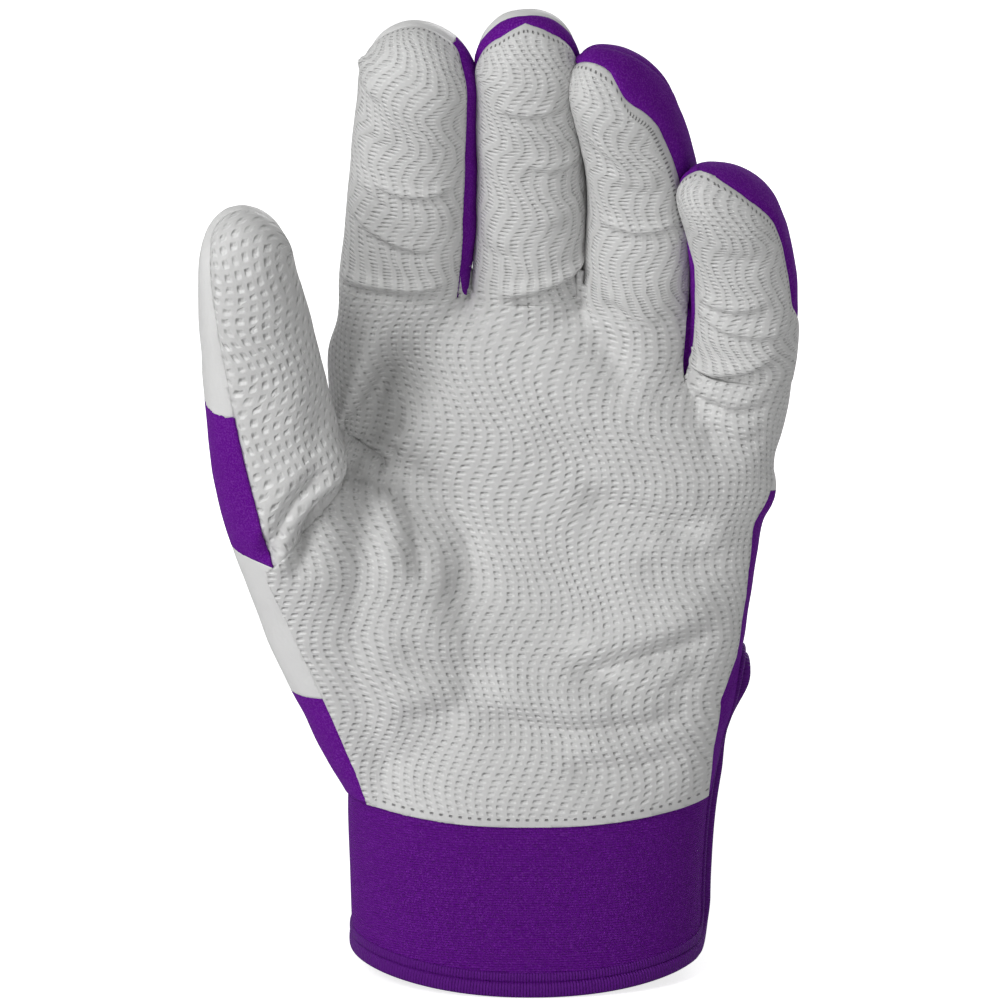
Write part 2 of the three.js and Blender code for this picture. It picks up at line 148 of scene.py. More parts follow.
def stall_path(stall, steps=240):
    """The centre line of a stall, with the directions along, across and behind it."""
    distance = np.linspace(0, stall["length"] * PATH_REACH, steps)
    share = np.clip(distance / stall["length"], 0, 1)
    lean = np.radians(stall["lean"][0] + (stall["lean"][1] - stall["lean"][0]) * share)
    curl = np.radians(stall["curl"][0] + (stall["curl"][1] - stall["curl"][0]) * share)
    along = np.stack([np.cos(curl) * np.sin(lean), -np.sin(curl), np.cos(curl) * np.cos(lean)], axis=1)
    middle = (along[1:] + along[:-1]) / 2
    hops = np.cumsum(middle * np.diff(distance)[:, None], axis=0)
    at = np.asarray(stall["root"]) + np.vstack([[0, 0, 0], hops])
    flat = np.stack([np.cos(lean), 0 * lean, -np.sin(lean)], axis=1)
    behind = np.cross(along, flat)
    roll = math.radians(stall["roll"])
    across = flat * math.cos(roll) + behind * math.sin(roll)
    return dict(distance=distance, at=at, along=along, across=across, behind=np.cross(along, across))


def read_path(path, name, distance):
    """The point or one of the directions of a centre line, at a distance along it."""
    return np.stack([np.interp(distance, path["distance"], path[name][:, i]) for i in range(3)], axis=-1)


def bent(path, laid):
    """Carries points laid out straight (across, behind, along) onto a stall's centre line."""
    at, across, behind, along = [read_path(path, name, laid[:, 2])
                                 for name in ("at", "across", "behind", "along")]
    beyond = np.maximum(0, laid[:, 2] - path["distance"][-1])[:, None]
    return at + across * laid[:, :1] + behind * laid[:, 1:2] + along * beyond


def girth(stall, distance):
    """Half the width and half the depth of a stall at these distances along it."""
    share = np.clip(distance / stall["length"], 0, 1)
    return [through([0, 0.5, 1], stall[side], share) for side in ("width", "depth")]


def tip_of(stall):
    """Where a stall's tip begins to round off, and how long the rounding is."""
    tip = stall["width"][2] * TIP_ROUND
    return stall["length"] - tip, tip


def tube_rings(sides, rings):
    """A capped tube, with the ring and the angle of each of its corners."""
    bm = unit_tube(sides, rings)
    unit = places(bm)
    return bm, np.rint(unit[:, 2] * rings).astype(int), np.arctan2(unit[:, 1], unit[:, 0])


def laid_stall(stall, first, last, sides, spacing):
    """A stall laid out straight, from one distance to another, rounded off if that reaches the tip."""
    shoulder, tip = tip_of(stall)
    shoulder = min(last, shoulder)
    body = np.linspace(first, shoulder, max(2, int((shoulder - first) / spacing)))
    shrink = np.ones(len(body))
    if last > shoulder:
        turn = np.radians(np.linspace(0, 90, int(tip * 1.6 / spacing))[1:])
        body = np.append(body, shoulder + np.sin(turn) * tip)
        shrink = np.append(shrink, np.maximum(np.cos(turn), 0.004))
    bm, ring, turn = tube_rings(sides, len(body) - 1)
    width, depth = [half * shrink[ring] for half in girth(stall, body[ring])]
    spots = np.stack([width * squared(np.cos(turn), STALL_SQUARENESS),
                      depth * squared(np.sin(turn), STALL_SQUARENESS), body[ring]], axis=1)
    move_to(bm, spots)
    bmesh.ops.remove_doubles(bm, verts=bm.verts, dist=0.05)
    return bm


def mesh_of(bm, name):
    mesh = bpy.data.meshes.new(name)
    bm.to_mesh(mesh)
    return mesh


def in_scene(name, data):
    """A new object in the scene."""
    thing = bpy.data.objects.new(name, data)
    bpy.context.scene.collection.objects.link(thing)
    return thing


def evaluated(thing):
    """An object's mesh with its modifiers applied."""
    depsgraph = bpy.context.evaluated_depsgraph_get()
    return bpy.data.meshes.new_from_object(thing.evaluated_get(depsgraph))


def add_copy(bm, other):
    """Adds another mesh to this one."""
    carrier = mesh_of(other, "carrier")
    bm.from_mesh(carrier)
    bpy.data.meshes.remove(carrier)
    other.free()


def skinned(bm, size):
    """One even skin over everything in the mesh."""
    rough = in_scene("rough", mesh_of(bm, "rough"))
    remesh = rough.modifiers.new("skin", "REMESH")
    remesh.mode = "VOXEL"
    remesh.voxel_size = size
    even = evaluated(rough)
    bpy.data.objects.remove(rough)
    skin = bmesh.new()
    skin.from_mesh(even)
    bpy.data.meshes.remove(even)
    return skin


def smooth(bm, verts, factor):
    bmesh.ops.smooth_vert(bm, verts=verts, factor=factor,
                          use_axis_x=True, use_axis_y=True, use_axis_z=True)


# the size of the skin's faces, how often it is smoothed, where the hand's tube starts and how tall it is,
# and how far past its crease a finger's root reaches
SKIN_SIZE = 0.8
SKIN_PASSES = 18
TUBE_LOW = 28
TUBE_TALL = 110
ROOT_REACH = 12
ROOT_SPACING = 1.5
# the pad of muscle at the root of the thumb, and the web between the thumb and the index finger:
# the segments and rings of a ball, its half sizes, its tilt and its middle
PADS = [((32, 20), (19, 13, 34), -16, (-26, -8, 72)),
        ((24, 16), (5, 7, 8.5), 0, (-39.2, -2.5, 106.6))]
paths = {name: stall_path(stall) for name, stall in FINGERS.items()}
thumb_path = stall_path(THUMB)

rough = unit_tube(sides=96, rings=70)
spots = places(rough)
move_to(rough, on_hand(np.arctan2(spots[:, 1], spots[:, 0]), TUBE_LOW + spots[:, 2] * TUBE_TALL, 0))
roots = [(stall, paths[name], stall["crease"] + ROOT_REACH, 40) for name, stall in FINGERS.items()]
roots.append((THUMB, thumb_path, THUMB["length"], 56))
for stall, path, reach, sides in roots:
    stub = laid_stall(stall, 0, reach, sides, ROOT_SPACING)
    move_to(stub, bent(path, places(stub)))
    add_copy(rough, stub)
for (segments, rings), size, tilt, middle in PADS:
    pad = bmesh.new()
    bmesh.ops.create_uvsphere(pad, u_segments=segments, v_segments=rings, radius=1)
    bmesh.ops.scale(pad, verts=pad.verts, vec=size)
    tilted = Matrix.Rotation(math.radians(tilt), 3, "Y")
    bmesh.ops.rotate(pad, verts=pad.verts, cent=(0, 0, 0), matrix=tilted)
    bmesh.ops.translate(pad, verts=pad.verts, vec=middle)
    add_copy(rough, pad)
skin = skinned(rough, SKIN_SIZE)
rough.free()
for _ in range(SKIN_PASSES):
    smooth(skin, skin.verts, 0.5)

# Creases in the palm
# The leather is soft and has been bent by a grip, so it lies in folds: one deep pair where the thumb meets
# the palm, a fan of gathers at the web, and short folds that run in from the little-finger edge.
THUMB_FORK = (-37.0, 109.5)
THUMB_HEEL = (-60.0, 84.5)
fork_length = math.hypot(THUMB_FORK[0] - THUMB_HEEL[0], THUMB_FORK[1] - THUMB_HEEL[1])
FOLD_OUT = (-(THUMB_FORK[1] - THUMB_HEEL[1]) / fork_length, (THUMB_FORK[0] - THUMB_HEEL[0]) / fork_length)

# Each fold: its line in x and z, how deep the valley is, how wide, and how high the ridges beside it are
PALM_FOLDS = [
    ([(-46, 84), (-45.4, 89), (-44, 94.9), (-41.7, 98.5), (-38.2, 101.7), (-35.2, 104.4), (-35, 108),
      (-36, 113), (-37, 118)], 5.2, 2.0, 2.2),
    ([(-52, 88), (-50.3, 93.3), (-48, 98.1), (-45.6, 102.5), (-42.1, 106.6), (-38, 109.6)], 3.0, 1.8, 1.0),
    ([(-20, 82), (-21.8, 89), (-22.2, 95.4), (-25, 101.3), (-29, 107), (-33.5, 113)], 3.2, 2.8, 1.1),
    ([(-13.6, 76), (-12.6, 86), (-13.3, 92.2), (-17.2, 99.2), (-24, 105.6), (-31, 112)], 3.0, 3.2, 1.0),
    ([(-28.4, 99), (-30.4, 103.6), (-33.4, 110), (-36.2, 116)], 2.6, 1.5, 1.0),
    ([(-30.5, 105.1), (-33.2, 110), (-35.9, 114.4)], 3.4, 1.2, 1.3),
    ([(-27.4, 108.4), (-31.4, 112.2), (-35.6, 114.9)], 3.4, 1.2, 1.3),
    ([(-25.4, 113.4), (-30.2, 114.8), (-35.2, 115.4)], 2.6, 1.2, 1.0),
    ([(8, 102), (17, 98), (25, 95), (32, 93.2), (38, 93.6)], 2.6, 2.6, 1.0),
    ([(20, 86), (29.4, 85), (42, 87.6)], 0.9, 2.6, 0.8),
    ([(5, 65.4), (14, 65.6), (24, 68), (33, 71), (40, 73)], 2.6, 2.5, 1.5),
    ([(-14, 57.4), (-2, 55), (8, 53.4), (23, 54), (36, 56.6)], 2.4, 2.6, 1.5),
    ([(13, 62), (26, 60.8), (35, 62.6)], 1.6, 2.0, 1.0),
    ([(5, 46.6), (20, 46), (33, 48)], 1.3, 2.2, 0.9),
    ([(-28, 54.6), (-20, 57), (-12, 57.4)], 0.9, 2.4, 0.8),
    ([(-28, 72.6), (-18, 66.8), (-4, 65)], 0.9, 3.0, 0.8),
    ([(30, 120.2), (38.6, 116.4), (47, 117.2)], 1.8, 1.3, 1.3),
    ([(33, 113.6), (41, 110), (47, 111)], 1.2, 1.6, 0.8),
    ([(12, 134), (16, 126), (17.6, 116)], 0.9, 3.0, 0.5),
]
# the shape that all folds share: where along its length a fold fades in and out, and for a valley of
# width 1 how wide its gentle side is, and how far off and how wide its roll is
FADE_IN = 0.22
FADE_OUT = 0.7
SLOPE_WIDTH = 1.8
ROLL_AWAY = 2.0
ROLL_WIDTH = 1.3


def near_line(x, z, line):
    """Distance from a line in x and z, positive on its left, and how far along the nearest point is."""
    line = np.asarray(line, dtype=float)
    lengths = np.hypot(*np.diff(line, axis=0).T)
    starts = np.append(0, np.cumsum(lengths))
    best = np.full(len(x), 1e9)
    share = np.zeros(len(x))
    for i, length in enumerate(lengths):
        step = (line[i + 1] - line[i]) / length
        dx, dz = x - line[i, 0], z - line[i, 1]
        run = np.clip(dx * step[0] + dz * step[1], 0, length)
        gap = np.hypot(dx - step[0] * run, dz - step[1] * run)
        closer = gap < np.abs(best)
        best = np.where(closer, np.where(step[0] * dz - step[1] * dx < 0, -gap, gap), best)
        share = np.where(closer, (starts[i] + run) / starts[-1], share)
    return best, share


def fold_height(gap, share, depth, width, ridge):
    """A fold: a roll on the line's left side that drops into a crease, and a gentle climb out of it."""
    fade = ease(0, FADE_IN, share) * ease(1, FADE_OUT, share)
    steep = (gap / width) ** 2
    gentle = np.abs(gap) / (SLOPE_WIDTH * width)
    valley = -depth * np.exp(-np.where(gap > 0, steep, gentle))
    roll = ridge * bell(gap - ROLL_AWAY * width, ROLL_WIDTH * width)
    return fade * (valley + roll)


def folds_at(u, v, folds):
    """Height of a set of folds at these places on a sheet."""
    height = np.zeros(len(u))
    for line, depth, width, ridge in folds:
        gap, share = near_line(u, v, line)
        height += fold_height(gap, share, depth, width, ridge)
    return height


def grain(spots, size, seed):
    return np.array([noise.noise(Vector(s) / size + Vector((seed, 0, 0))) for s in spots])


def raise_by(bm, heights):
    """Moves the skin outwards by one height, or by a height for each of its corners."""
    bm.normal_update()
    for vert, height in zip(bm.verts, np.broadcast_to(heights, len(bm.verts))):
        vert.co += vert.normal * float(height)


def mound(x, z, middle, size):
    """A soft mound of height 1 over x and z."""
    return bell(x - middle[0], size[0]) * bell(z - middle[1], size[1])


# the hollow between the index root and the thumb, which the grip has pulled in towards the back of the hand,
# and the rim that stands up beside it; both lie on a slant
HOLLOW = (-30.0, 120.5)
HOLLOW_DEPTH = 11.0
HOLLOW_LEFT = 3.4
HOLLOW_RIGHT = 8.5
HOLLOW_TALL = 8.0
HOLLOW_SLANT = 0.35
RIM = ((-36.0, 122.5), (2.8, 9))
RIM_HEIGHT = 4.0
# the hollow of the palm, the notch between the thumb and the index root, and the pads below the fingers,
# which lie in a row that falls towards the little finger: the middle and half sizes of each
PALM_HOLLOW = ((4, 88), (22, 22))
PALM_HOLLOW_DEPTH = 3.4
NOTCH = ((-40.8, 117), (3.2, 7))
NOTCH_DEPTH = 0.9
FINGER_PADS = ((24, 122), (30, 7))
FINGER_PADS_HEIGHT = 1.2
FINGER_PADS_FALL = 0.5
# between these depths the forms of the palm fade out
PALM_FRONT = (1, -8)
spots = places(skin)
x, y, z = spots.T
front = ease(*PALM_FRONT, y)
slant = HOLLOW_SLANT * (z - HOLLOW[1])
hollow_wide = np.where(x - HOLLOW[0] < slant, HOLLOW_LEFT, HOLLOW_RIGHT)
spots[:, 1] += front * HOLLOW_DEPTH * mound(x - slant, z, HOLLOW, (hollow_wide, HOLLOW_TALL))
spots[:, 1] -= front * RIM_HEIGHT * mound(x - slant, z, *RIM)
move_to(skin, spots)
height = front * folds_at(x, z, PALM_FOLDS)
height -= front * PALM_HOLLOW_DEPTH * mound(x, z, *PALM_HOLLOW)
height -= NOTCH_DEPTH * mound(x, z, *NOTCH)
level_z = z + FINGER_PADS_FALL * (x - FALL_FROM)
height += front * FINGER_PADS_HEIGHT * mound(x, level_z, *FINGER_PADS)
height += 0.6 * grain(spots, size=17, seed=3) + 0.2 * grain(spots, size=6, seed=8)
raise_by(skin, height)
for _ in range(2):
    smooth(skin, skin.verts, 0.5)

# Cutting the skin into its panels
# The panels meet at sewn seams: the palm leather's two edges, the slanting fold of the thumb, and the seams
# between the stretch panels and the leather on the back.
PALM_EDGE = [(-32.0, 20), (-32.0, 35), (-34.6, 43), (-40.0, 57), (-45.9, 71), (-51.6, 85), (-52.0, 94),
             (-52.0, 140)]
# the seam at the little-finger edge, as depth and height
ULNAR_SEAM = [(-8.5, 20), (-8.5, 36), (-9.4, 46), (-10.0, 58), (-7.2, 66), (-6.4, 92), (-4.4, 100),
              (0.5, 112), (4.0, 126), (4.0, 170)]
RADIAL_EDGE = [(-14, 20), (-14, 60), (-20, 92), (-27, 112), (-27, 170)]
KNUCKLE_LOW = [(-60, 119), (4, 119), (36, 103), (70, 92)]
WEB_LINE = [(-37.0, 109.5), (-40.4, 122), (-43.0, 135), (-46.0, 215)]
WRIST_PANEL_TOP = 60.0
SLIT_MID = 2.4
SLIT_HALF = 1.3
SLIT_TOP = 60.0
# the thumb's seams: along which part of the stall the outer one moves over, from where to where, how far
# behind the middle the one towards the index finger runs, and how round the corner between them is
THUMB_SEAM_SPAN = (60, 120)
THUMB_SEAM_SIDE = (-5.4, -7.2)
THUMB_SEAM_BACK = 2.0
THUMB_SEAM_ROUND = 4.0
# the gusset: its upper end along the stall, its inner edge across it, and its lower edge, which has this
# height at the outer x and slopes down from there
GUSSET_TOP = 96.0
GUSSET_SIDE = 3.0
GUSSET_LOW = 91.0
GUSSET_SLOPE = 0.3
GUSSET_OUTER = -59.7
FOLD_SHIFT = 4.4
# between these heights the web's seam turns to slant inwards in front of a depth
WEB_TURN = (110, 120)
WEB_SLANT = 1.5
WEB_DEPTH = -9


def line_x(line, z):
    points = np.asarray(line, dtype=float)
    return np.interp(z, points[:, 1], points[:, 0])


def beyond_fold(spots):
    """Distance past the thumb's fold, positive on the thumb's side."""
    return (spots[:, 0] - THUMB_FORK[0]) * FOLD_OUT[0] + (spots[:, 2] - THUMB_FORK[1]) * FOLD_OUT[1]


def thumb_zone(spots):
    x, y, z = spots.T
    web = line_x(WEB_LINE, z) + WEB_SLANT * ease(*WEB_TURN, z) * (WEB_DEPTH - y)
    return np.minimum(beyond_fold(spots) + FOLD_SHIFT, web - x)


def on_thumb(spots):
    """Where points lie on the thumb stall: across, behind and along it."""
    gaps = np.linalg.norm(spots[:, None, :] - thumb_path["at"][None, :, :], axis=2)
    nearest = np.argmin(gaps, axis=1)
    offset = spots - thumb_path["at"][nearest]
    return np.stack([np.einsum("ij,ij->i", offset, thumb_path["across"][nearest]),
                     np.einsum("ij,ij->i", offset, thumb_path["behind"][nearest]),
                     thumb_path["distance"][nearest]], axis=1)


def thumb_front(spots):
    """Positive in front of the thumb's seams."""
    laid = on_thumb(spots)
    side = np.interp(laid[:, 2], THUMB_SEAM_SPAN, THUMB_SEAM_SIDE)
    beside, behind = laid[:, 0] - side, THUMB_SEAM_BACK - laid[:, 1]
    return (beside + behind - np.sqrt((beside - behind) ** 2 + THUMB_SEAM_ROUND ** 2)) / 2


def palm_front(spots):
    x, y, z = spots.T
    return np.minimum(x - line_x(PALM_EDGE, z), line_x(ULNAR_SEAM, z) - y)


def past_crease(name):
    """A function that gives the distance of points past a finger's crease."""
    crease = FINGERS[name]["crease"]
    at, along = [read_path(paths[name], part, crease) for part in ("at", "along")]
    return lambda spots: (spots - at) @ along


def cut_along(bm, value_at):
    """Cuts the faces along the line on the skin where a value passes through zero."""
    keep = bm.verts.layers.float_vector.get("place") or bm.verts.layers.float_vector.new("place")
    values = value_at(places(bm))
    for vert, value in zip(bm.verts, values):
        vert[keep] = vert.co
        vert.co.x = value
    bmesh.ops.bisect_plane(bm, geom=bm.verts[:] + bm.edges[:] + bm.faces[:], dist=0.02,
                           plane_co=(0, 0, 0), plane_no=(1, 0, 0))
    for vert in bm.verts:
        vert.co = vert[keep]
    bmesh.ops.remove_doubles(bm, verts=bm.verts, dist=0.12)


def only_faces(bm, wanted):
    """A copy of the mesh with only the faces whose middles are wanted."""
    part = bm.copy()
    middles = np.array([f.calc_center_median()[:] for f in part.faces])
    drop = [f for f, keep in zip(part.faces, wanted(middles)) if not keep]
    bmesh.ops.delete(part, geom=drop, context="FACES")
    return part


def parted(bm, value_at):
    """Cuts a mesh where a value passes through zero; returns the part above zero and the rest."""
    cut_along(bm, value_at)
    return only_faces(bm, lambda m: value_at(m) > 0), only_faces(bm, lambda m: value_at(m) <= 0)


# the crotches between the fingers, and the side wall that each of them stays with
CROTCHES = (-13.4, 9.8, 30.6)
WEB_OF = dict(zip(("index", "middle", "little"), CROTCHES))
FINGER_BOUNDS = {"index": (-60, CROTCHES[0]), "middle": CROTCHES[:2], "ring": CROTCHES[1:],
                 "little": (CROTCHES[2], 70)}
# at a crotch the hand keeps a web: half its width, how far it rises past the crease, and its lap
WEB_HALF = 1.2
WEB_RISE = 5.5
WEB_LAP = 0.1
# the skin that goes to the side wall: how far from the crotch, how deep, how high, and how far tucked in
WEB_REACH = 4
WEB_DEEP = 7
WEB_HIGH = 146
WEB_TUCK = 0.7
# the slot between the ring and little fingers runs on into the palm: its middle line, the height at which it
# begins, the heights between which it opens, and half its width
SLOT_LINE = [(29.8, 121.5), (30.5, 127), (31.1, 135)]
SLOT_LOW = 121.5
SLOT_OPENS = (120, 127)
SLOT_HALF = 1.1
OUTSIDE = -50.0


def slot_zone(spots):
    x, y, z = spots.T
    half = SLOT_HALF * ease(*SLOT_OPENS, z)
    open_slot = np.minimum(half - np.abs(x - line_x(SLOT_LINE, z)), z - SLOT_LOW)
    return np.where(y < 0, open_slot, OUTSIDE)


def finger_zone(spots):
    """Positive where the skin belongs to a finger stall, past its crease."""
    zone = slot_zone(spots)
    for name, (low, high) in FINGER_BOUNDS.items():
        inside = np.minimum(spots[:, 0] - low, high - spots[:, 0])
        past = past_crease(name)(spots)
        zone = np.maximum(zone, np.minimum(inside - WEB_HALF, past))
        zone = np.maximum(zone, np.minimum(inside + WEB_LAP, past - WEB_RISE))
    return zone


FOLD_LAP = 1.2
SKIN_LOW = 30
foot_skin = BVHTree.FromBMesh(skin)
cut_along(skin, thumb_zone)
cut_along(skin, lambda s: thumb_zone(s) + FOLD_LAP)
thumb_skin = only_faces(skin, lambda m: thumb_zone(m) > -FOLD_LAP)
hand_skin = only_faces(skin, lambda m: (thumb_zone(m) <= 0) & (m[:, 2] > SKIN_LOW))
skin.free()
cut_along(hand_skin, finger_zone)
web_skins = {}
for name, at in WEB_OF.items():
    web = only_faces(hand_skin, lambda m: (finger_zone(m) > 0) & (np.abs(m[:, 0] - at) < WEB_REACH)
                     & ((np.abs(m[:, 1]) < WEB_DEEP) | (slot_zone(m) > 0)) & (m[:, 2] < WEB_HIGH))
    raise_by(web, -WEB_TUCK)
    web_skins[name] = web
hand_skin = only_faces(hand_skin, lambda m: finger_zone(m) <= 0)


def cuff_top(x):
    """Height of the seam with the cuff, which rises a little to both sides."""
    return CUFF_TOP + CUFF_RISE * (x / CUFF_REACH) ** 2


def above_cuff(spots):
    return spots[:, 2] - cuff_top(spots[:, 0])


def slit_zone(spots):
    """Positive in the wrist slit on the little-finger side."""
    x, y, z = spots.T
    return np.minimum(np.minimum(SLIT_HALF - np.abs(y - SLIT_MID), x), SLIT_TOP - z)


def above_knuckle_seam(spots):
    points = np.asarray(KNUCKLE_LOW, dtype=float)
    return spots[:, 2] - np.interp(spots[:, 0], points[:, 0], points[:, 1])


def gusset_zone(spots):
    """Positive on the outer side of the thumb, below the gusset's upper end."""
    laid = on_thumb(spots)
    return np.minimum(GUSSET_TOP - laid[:, 2], GUSSET_SIDE - laid[:, 0])


def gusset_low(spots):
    """Positive above the lower edge of the gusset, which slopes down towards the palm."""
    edge = GUSSET_LOW - GUSSET_SLOPE * (spots[:, 0] - GUSSET_OUTER)
    return np.minimum(spots[:, 2] - edge, GUSSET_SIDE - on_thumb(spots)[:, 0])


hand_skin = parted(hand_skin, above_cuff)[0]
palm_skin, back_skin = parted(hand_skin, palm_front)
hand_skin.free()
knuckle_skin, back_skin = parted(back_skin, above_knuckle_seam)
cut_along(back_skin, lambda s: s[:, 2] - WRIST_PANEL_TOP)
cut_along(back_skin, slit_zone)
wrist_skin = only_faces(back_skin, lambda m: (m[:, 2] < WRIST_PANEL_TOP) & (slit_zone(m) <= 0))
back_skin = only_faces(back_skin, lambda m: m[:, 2] >= WRIST_PANEL_TOP)
back_skin, radial_skin = parted(back_skin, lambda s: s[:, 0] - line_x(RADIAL_EDGE, s[:, 2]))
thumb_front_skin, thumb_rest = parted(thumb_skin, thumb_front)
thumb_skin.free()
gusset_skin, thumb_back_skin = parted(thumb_rest, gusset_zone)
thumb_rest.free()
outer_skin = only_faces(gusset_skin, lambda m: thumb_zone(m) > 0)
add_copy(outer_skin, radial_skin)
bmesh.ops.remove_doubles(outer_skin, verts=outer_skin.verts, dist=0.15)
gusset_skin, radial_skin = parted(outer_skin, gusset_low)
outer_skin.free()

# The leathers and fabrics
# Palm side: thin white synthetic leather, embossed all over with rows of small pits. Backs: the same leather
# left smooth. Between them: purple stretch knit, and a neoprene cuff faced with fine ribs.


def add_node(tree, kind, inputs, **settings):
    """A new node with its settings; each input gets a value or another node's socket."""
    node = tree.nodes.new("ShaderNode" + kind)
    for name, value in settings.items():
        setattr(node, name, value)
    for label, value in inputs.items():
        if isinstance(value, bpy.types.NodeSocket):
            tree.links.new(value, node.inputs[label])
        else:
            node.inputs[label].default_value = value
    return node


def calc(tree, operation, *values):
    """A math node; the values are numbers or other nodes' sockets."""
    return add_node(tree, "Math", dict(enumerate(values)), operation=operation).outputs[0]


def soft_edge(tree, value, inner, outer):
    """1 on the inner side of the first bound, 0 beyond the second, and smooth between them."""
    bounds = {"Value": value, "From Min": outer, "From Max": inner}
    return add_node(tree, "MapRange", bounds, interpolation_type="SMOOTHSTEP").outputs["Result"]


def split_xyz(tree, source):
    return add_node(tree, "SeparateXYZ", {0: source}).outputs


def new_group(name, inputs, outputs):
    """A node group with inputs of these kinds and float outputs; returns it and its two ends."""
    group = bpy.data.node_groups.new(name, "ShaderNodeTree")
    for label, kind in inputs.items():
        group.interface.new_socket(label, in_out="INPUT", socket_type="NodeSocket" + kind)
    for label in outputs:
        group.interface.new_socket(label, in_out="OUTPUT", socket_type="NodeSocketFloat")
    return group, group.nodes.new("NodeGroupInput").outputs, group.nodes.new("NodeGroupOutput").inputs


PIT_PITCH = 2.3
ROW_PITCH = 1.32
LEAST_PRESSED = 0.5
# in each cell of the embossing: the pit, painted shade at its upper corner and a painted highlight on its
# lower lip, as if lit from the upper left; given by the middle of each, and where its soft edge starts and
# ends, as shares of the cell
CELL_MARKS = {"Pit": ((0, 0), (0.14, 0.08), (0.33, 0.36)),
              "PaintedShadeCorner": ((-0.15, 0.13), (0.03, 0.02), (0.18, 0.25)),
              "PaintedHighlightLip": ((0.14, -0.22), (0.14, 0.04), (0.34, 0.24))}
pit_rows, given, put_out = new_group("pit_rows", {"Flow": "Vector"}, CELL_MARKS)
place = split_xyz(pit_rows, given["Flow"])
column = calc(pit_rows, "DIVIDE", place["X"], PIT_PITCH)
row = calc(pit_rows, "DIVIDE", place["Y"], ROW_PITCH)
# no two pits are pressed equally deep
cell_number = {"X": calc(pit_rows, "FLOOR", column), "Y": calc(pit_rows, "FLOOR", row)}
cell = add_node(pit_rows, "CombineXYZ", cell_number)
chance = add_node(pit_rows, "TexWhiteNoise", {"Vector": cell.outputs[0]}, noise_dimensions="2D")
pressed = calc(pit_rows, "MULTIPLY_ADD", chance.outputs["Value"], 1 - LEAST_PRESSED, LEAST_PRESSED)
for mark, (middle, inner, outer) in CELL_MARKS.items():
    strength = pressed
    for in_cell, centre, near, far in zip((column, row), middle, inner, outer):
        off_middle = calc(pit_rows, "SUBTRACT", calc(pit_rows, "FRACT", in_cell), 0.5 + centre)
        inside = soft_edge(pit_rows, calc(pit_rows, "ABSOLUTE", off_middle), near, far)
        strength = calc(pit_rows, "MULTIPLY", strength, inside)
    pit_rows.links.new(strength, put_out[mark])

# needle holes in a row beside a sewn edge; the vector is the distance along the edge and away from it
NEEDLE_PITCH = 1.25
NEEDLE_LINE = 1.1
# where a hole's soft edge starts and ends, along the row and across it, and where the embossing sets in
HOLE_LONG = (0.06, 0.24)
HOLE_WIDE = (0.05, 0.28)
FIELD_EDGE = (2.0, 1.3)
needle_row, given, put_out = new_group("needle_row", {"Edge": "Vector"}, ["Hole", "Field"])
place = split_xyz(needle_row, given["Edge"])
hole_at = calc(needle_row, "FRACT", calc(needle_row, "DIVIDE", place["X"], NEEDLE_PITCH))
beside = calc(needle_row, "ABSOLUTE", calc(needle_row, "SUBTRACT", hole_at, 0.5))
above = calc(needle_row, "ABSOLUTE", calc(needle_row, "SUBTRACT", place["Y"], NEEDLE_LINE))
hole = calc(needle_row, "MULTIPLY", soft_edge(needle_row, beside, *HOLE_LONG),
            soft_edge(needle_row, above, *HOLE_WIDE))
needle_row.links.new(hole, put_out["Hole"])
needle_row.links.new(soft_edge(needle_row, place["Y"], *FIELD_EDGE), put_out["Field"])

# the speckle of a brushed knit: where its yarns stand up they catch more light
speckle, given, put_out = new_group("speckle", {"Place": "Vector", "Scale": "Float"}, ["Loft"])
yarns = add_node(speckle, "TexNoise", {"Vector": given["Place"], "Scale": given["Scale"], "Detail": 1})
speckle.links.new(soft_edge(speckle, yarns.outputs["Fac"], 0.75, 0.4), put_out["Loft"])
looks = {}


def plain_material(name, colour, roughness, specular=0.3):
    """A new look, kept under its slot's name; returns its nodes and its shader's inputs."""
    material = bpy.data.materials.new(name)
    material.use_nodes = True
    looks[name] = material
    inputs = material.node_tree.nodes["Principled BSDF"].inputs
    inputs["Base Color"].default_value = colour
    inputs["Roughness"].default_value = roughness
    inputs["Specular IOR Level"].default_value = specular
    return material.node_tree, inputs


def object_place(tree):
    return add_node(tree, "TexCoord", {}).outputs["Object"]


def uv_place(tree, name):
    return add_node(tree, "UVMap", {}, uv_map=name).outputs["UV"]


def noise_of(tree, scale, detail):
    inputs = {"Vector": object_place(tree), "Scale": scale, "Detail": detail}
    return add_node(tree, "TexNoise", inputs).outputs["Fac"]


def bump(tree, height, distance, strength=1.0, under=None):
    """A bump, laid over the one under it where there is one."""
    inputs = {"Height": height, "Distance": distance, "Strength": strength}
    if under is not None:
        inputs["Normal"] = under
    return add_node(tree, "Bump", inputs).outputs["Normal"]


def ribbed(tree, along, pitch, depth):
    """A bump of fine ribs that follow one another along a direction."""
    return bump(tree, calc(tree, "SINE", calc(tree, "MULTIPLY", along, 2 * math.pi / pitch)), depth)


# the sockets of a mix node that hold colours
MIX_FIRST = 6
MIX_SECOND = 7
MIX_RESULT = 2


def mix_colour(tree, share, first, second):
    """Mixes two colours, each of them a colour or another node's socket."""
    inputs = {"Factor": share, MIX_FIRST: first, MIX_SECOND: second}
    return add_node(tree, "Mix", inputs, data_type="RGBA").outputs[MIX_RESULT]


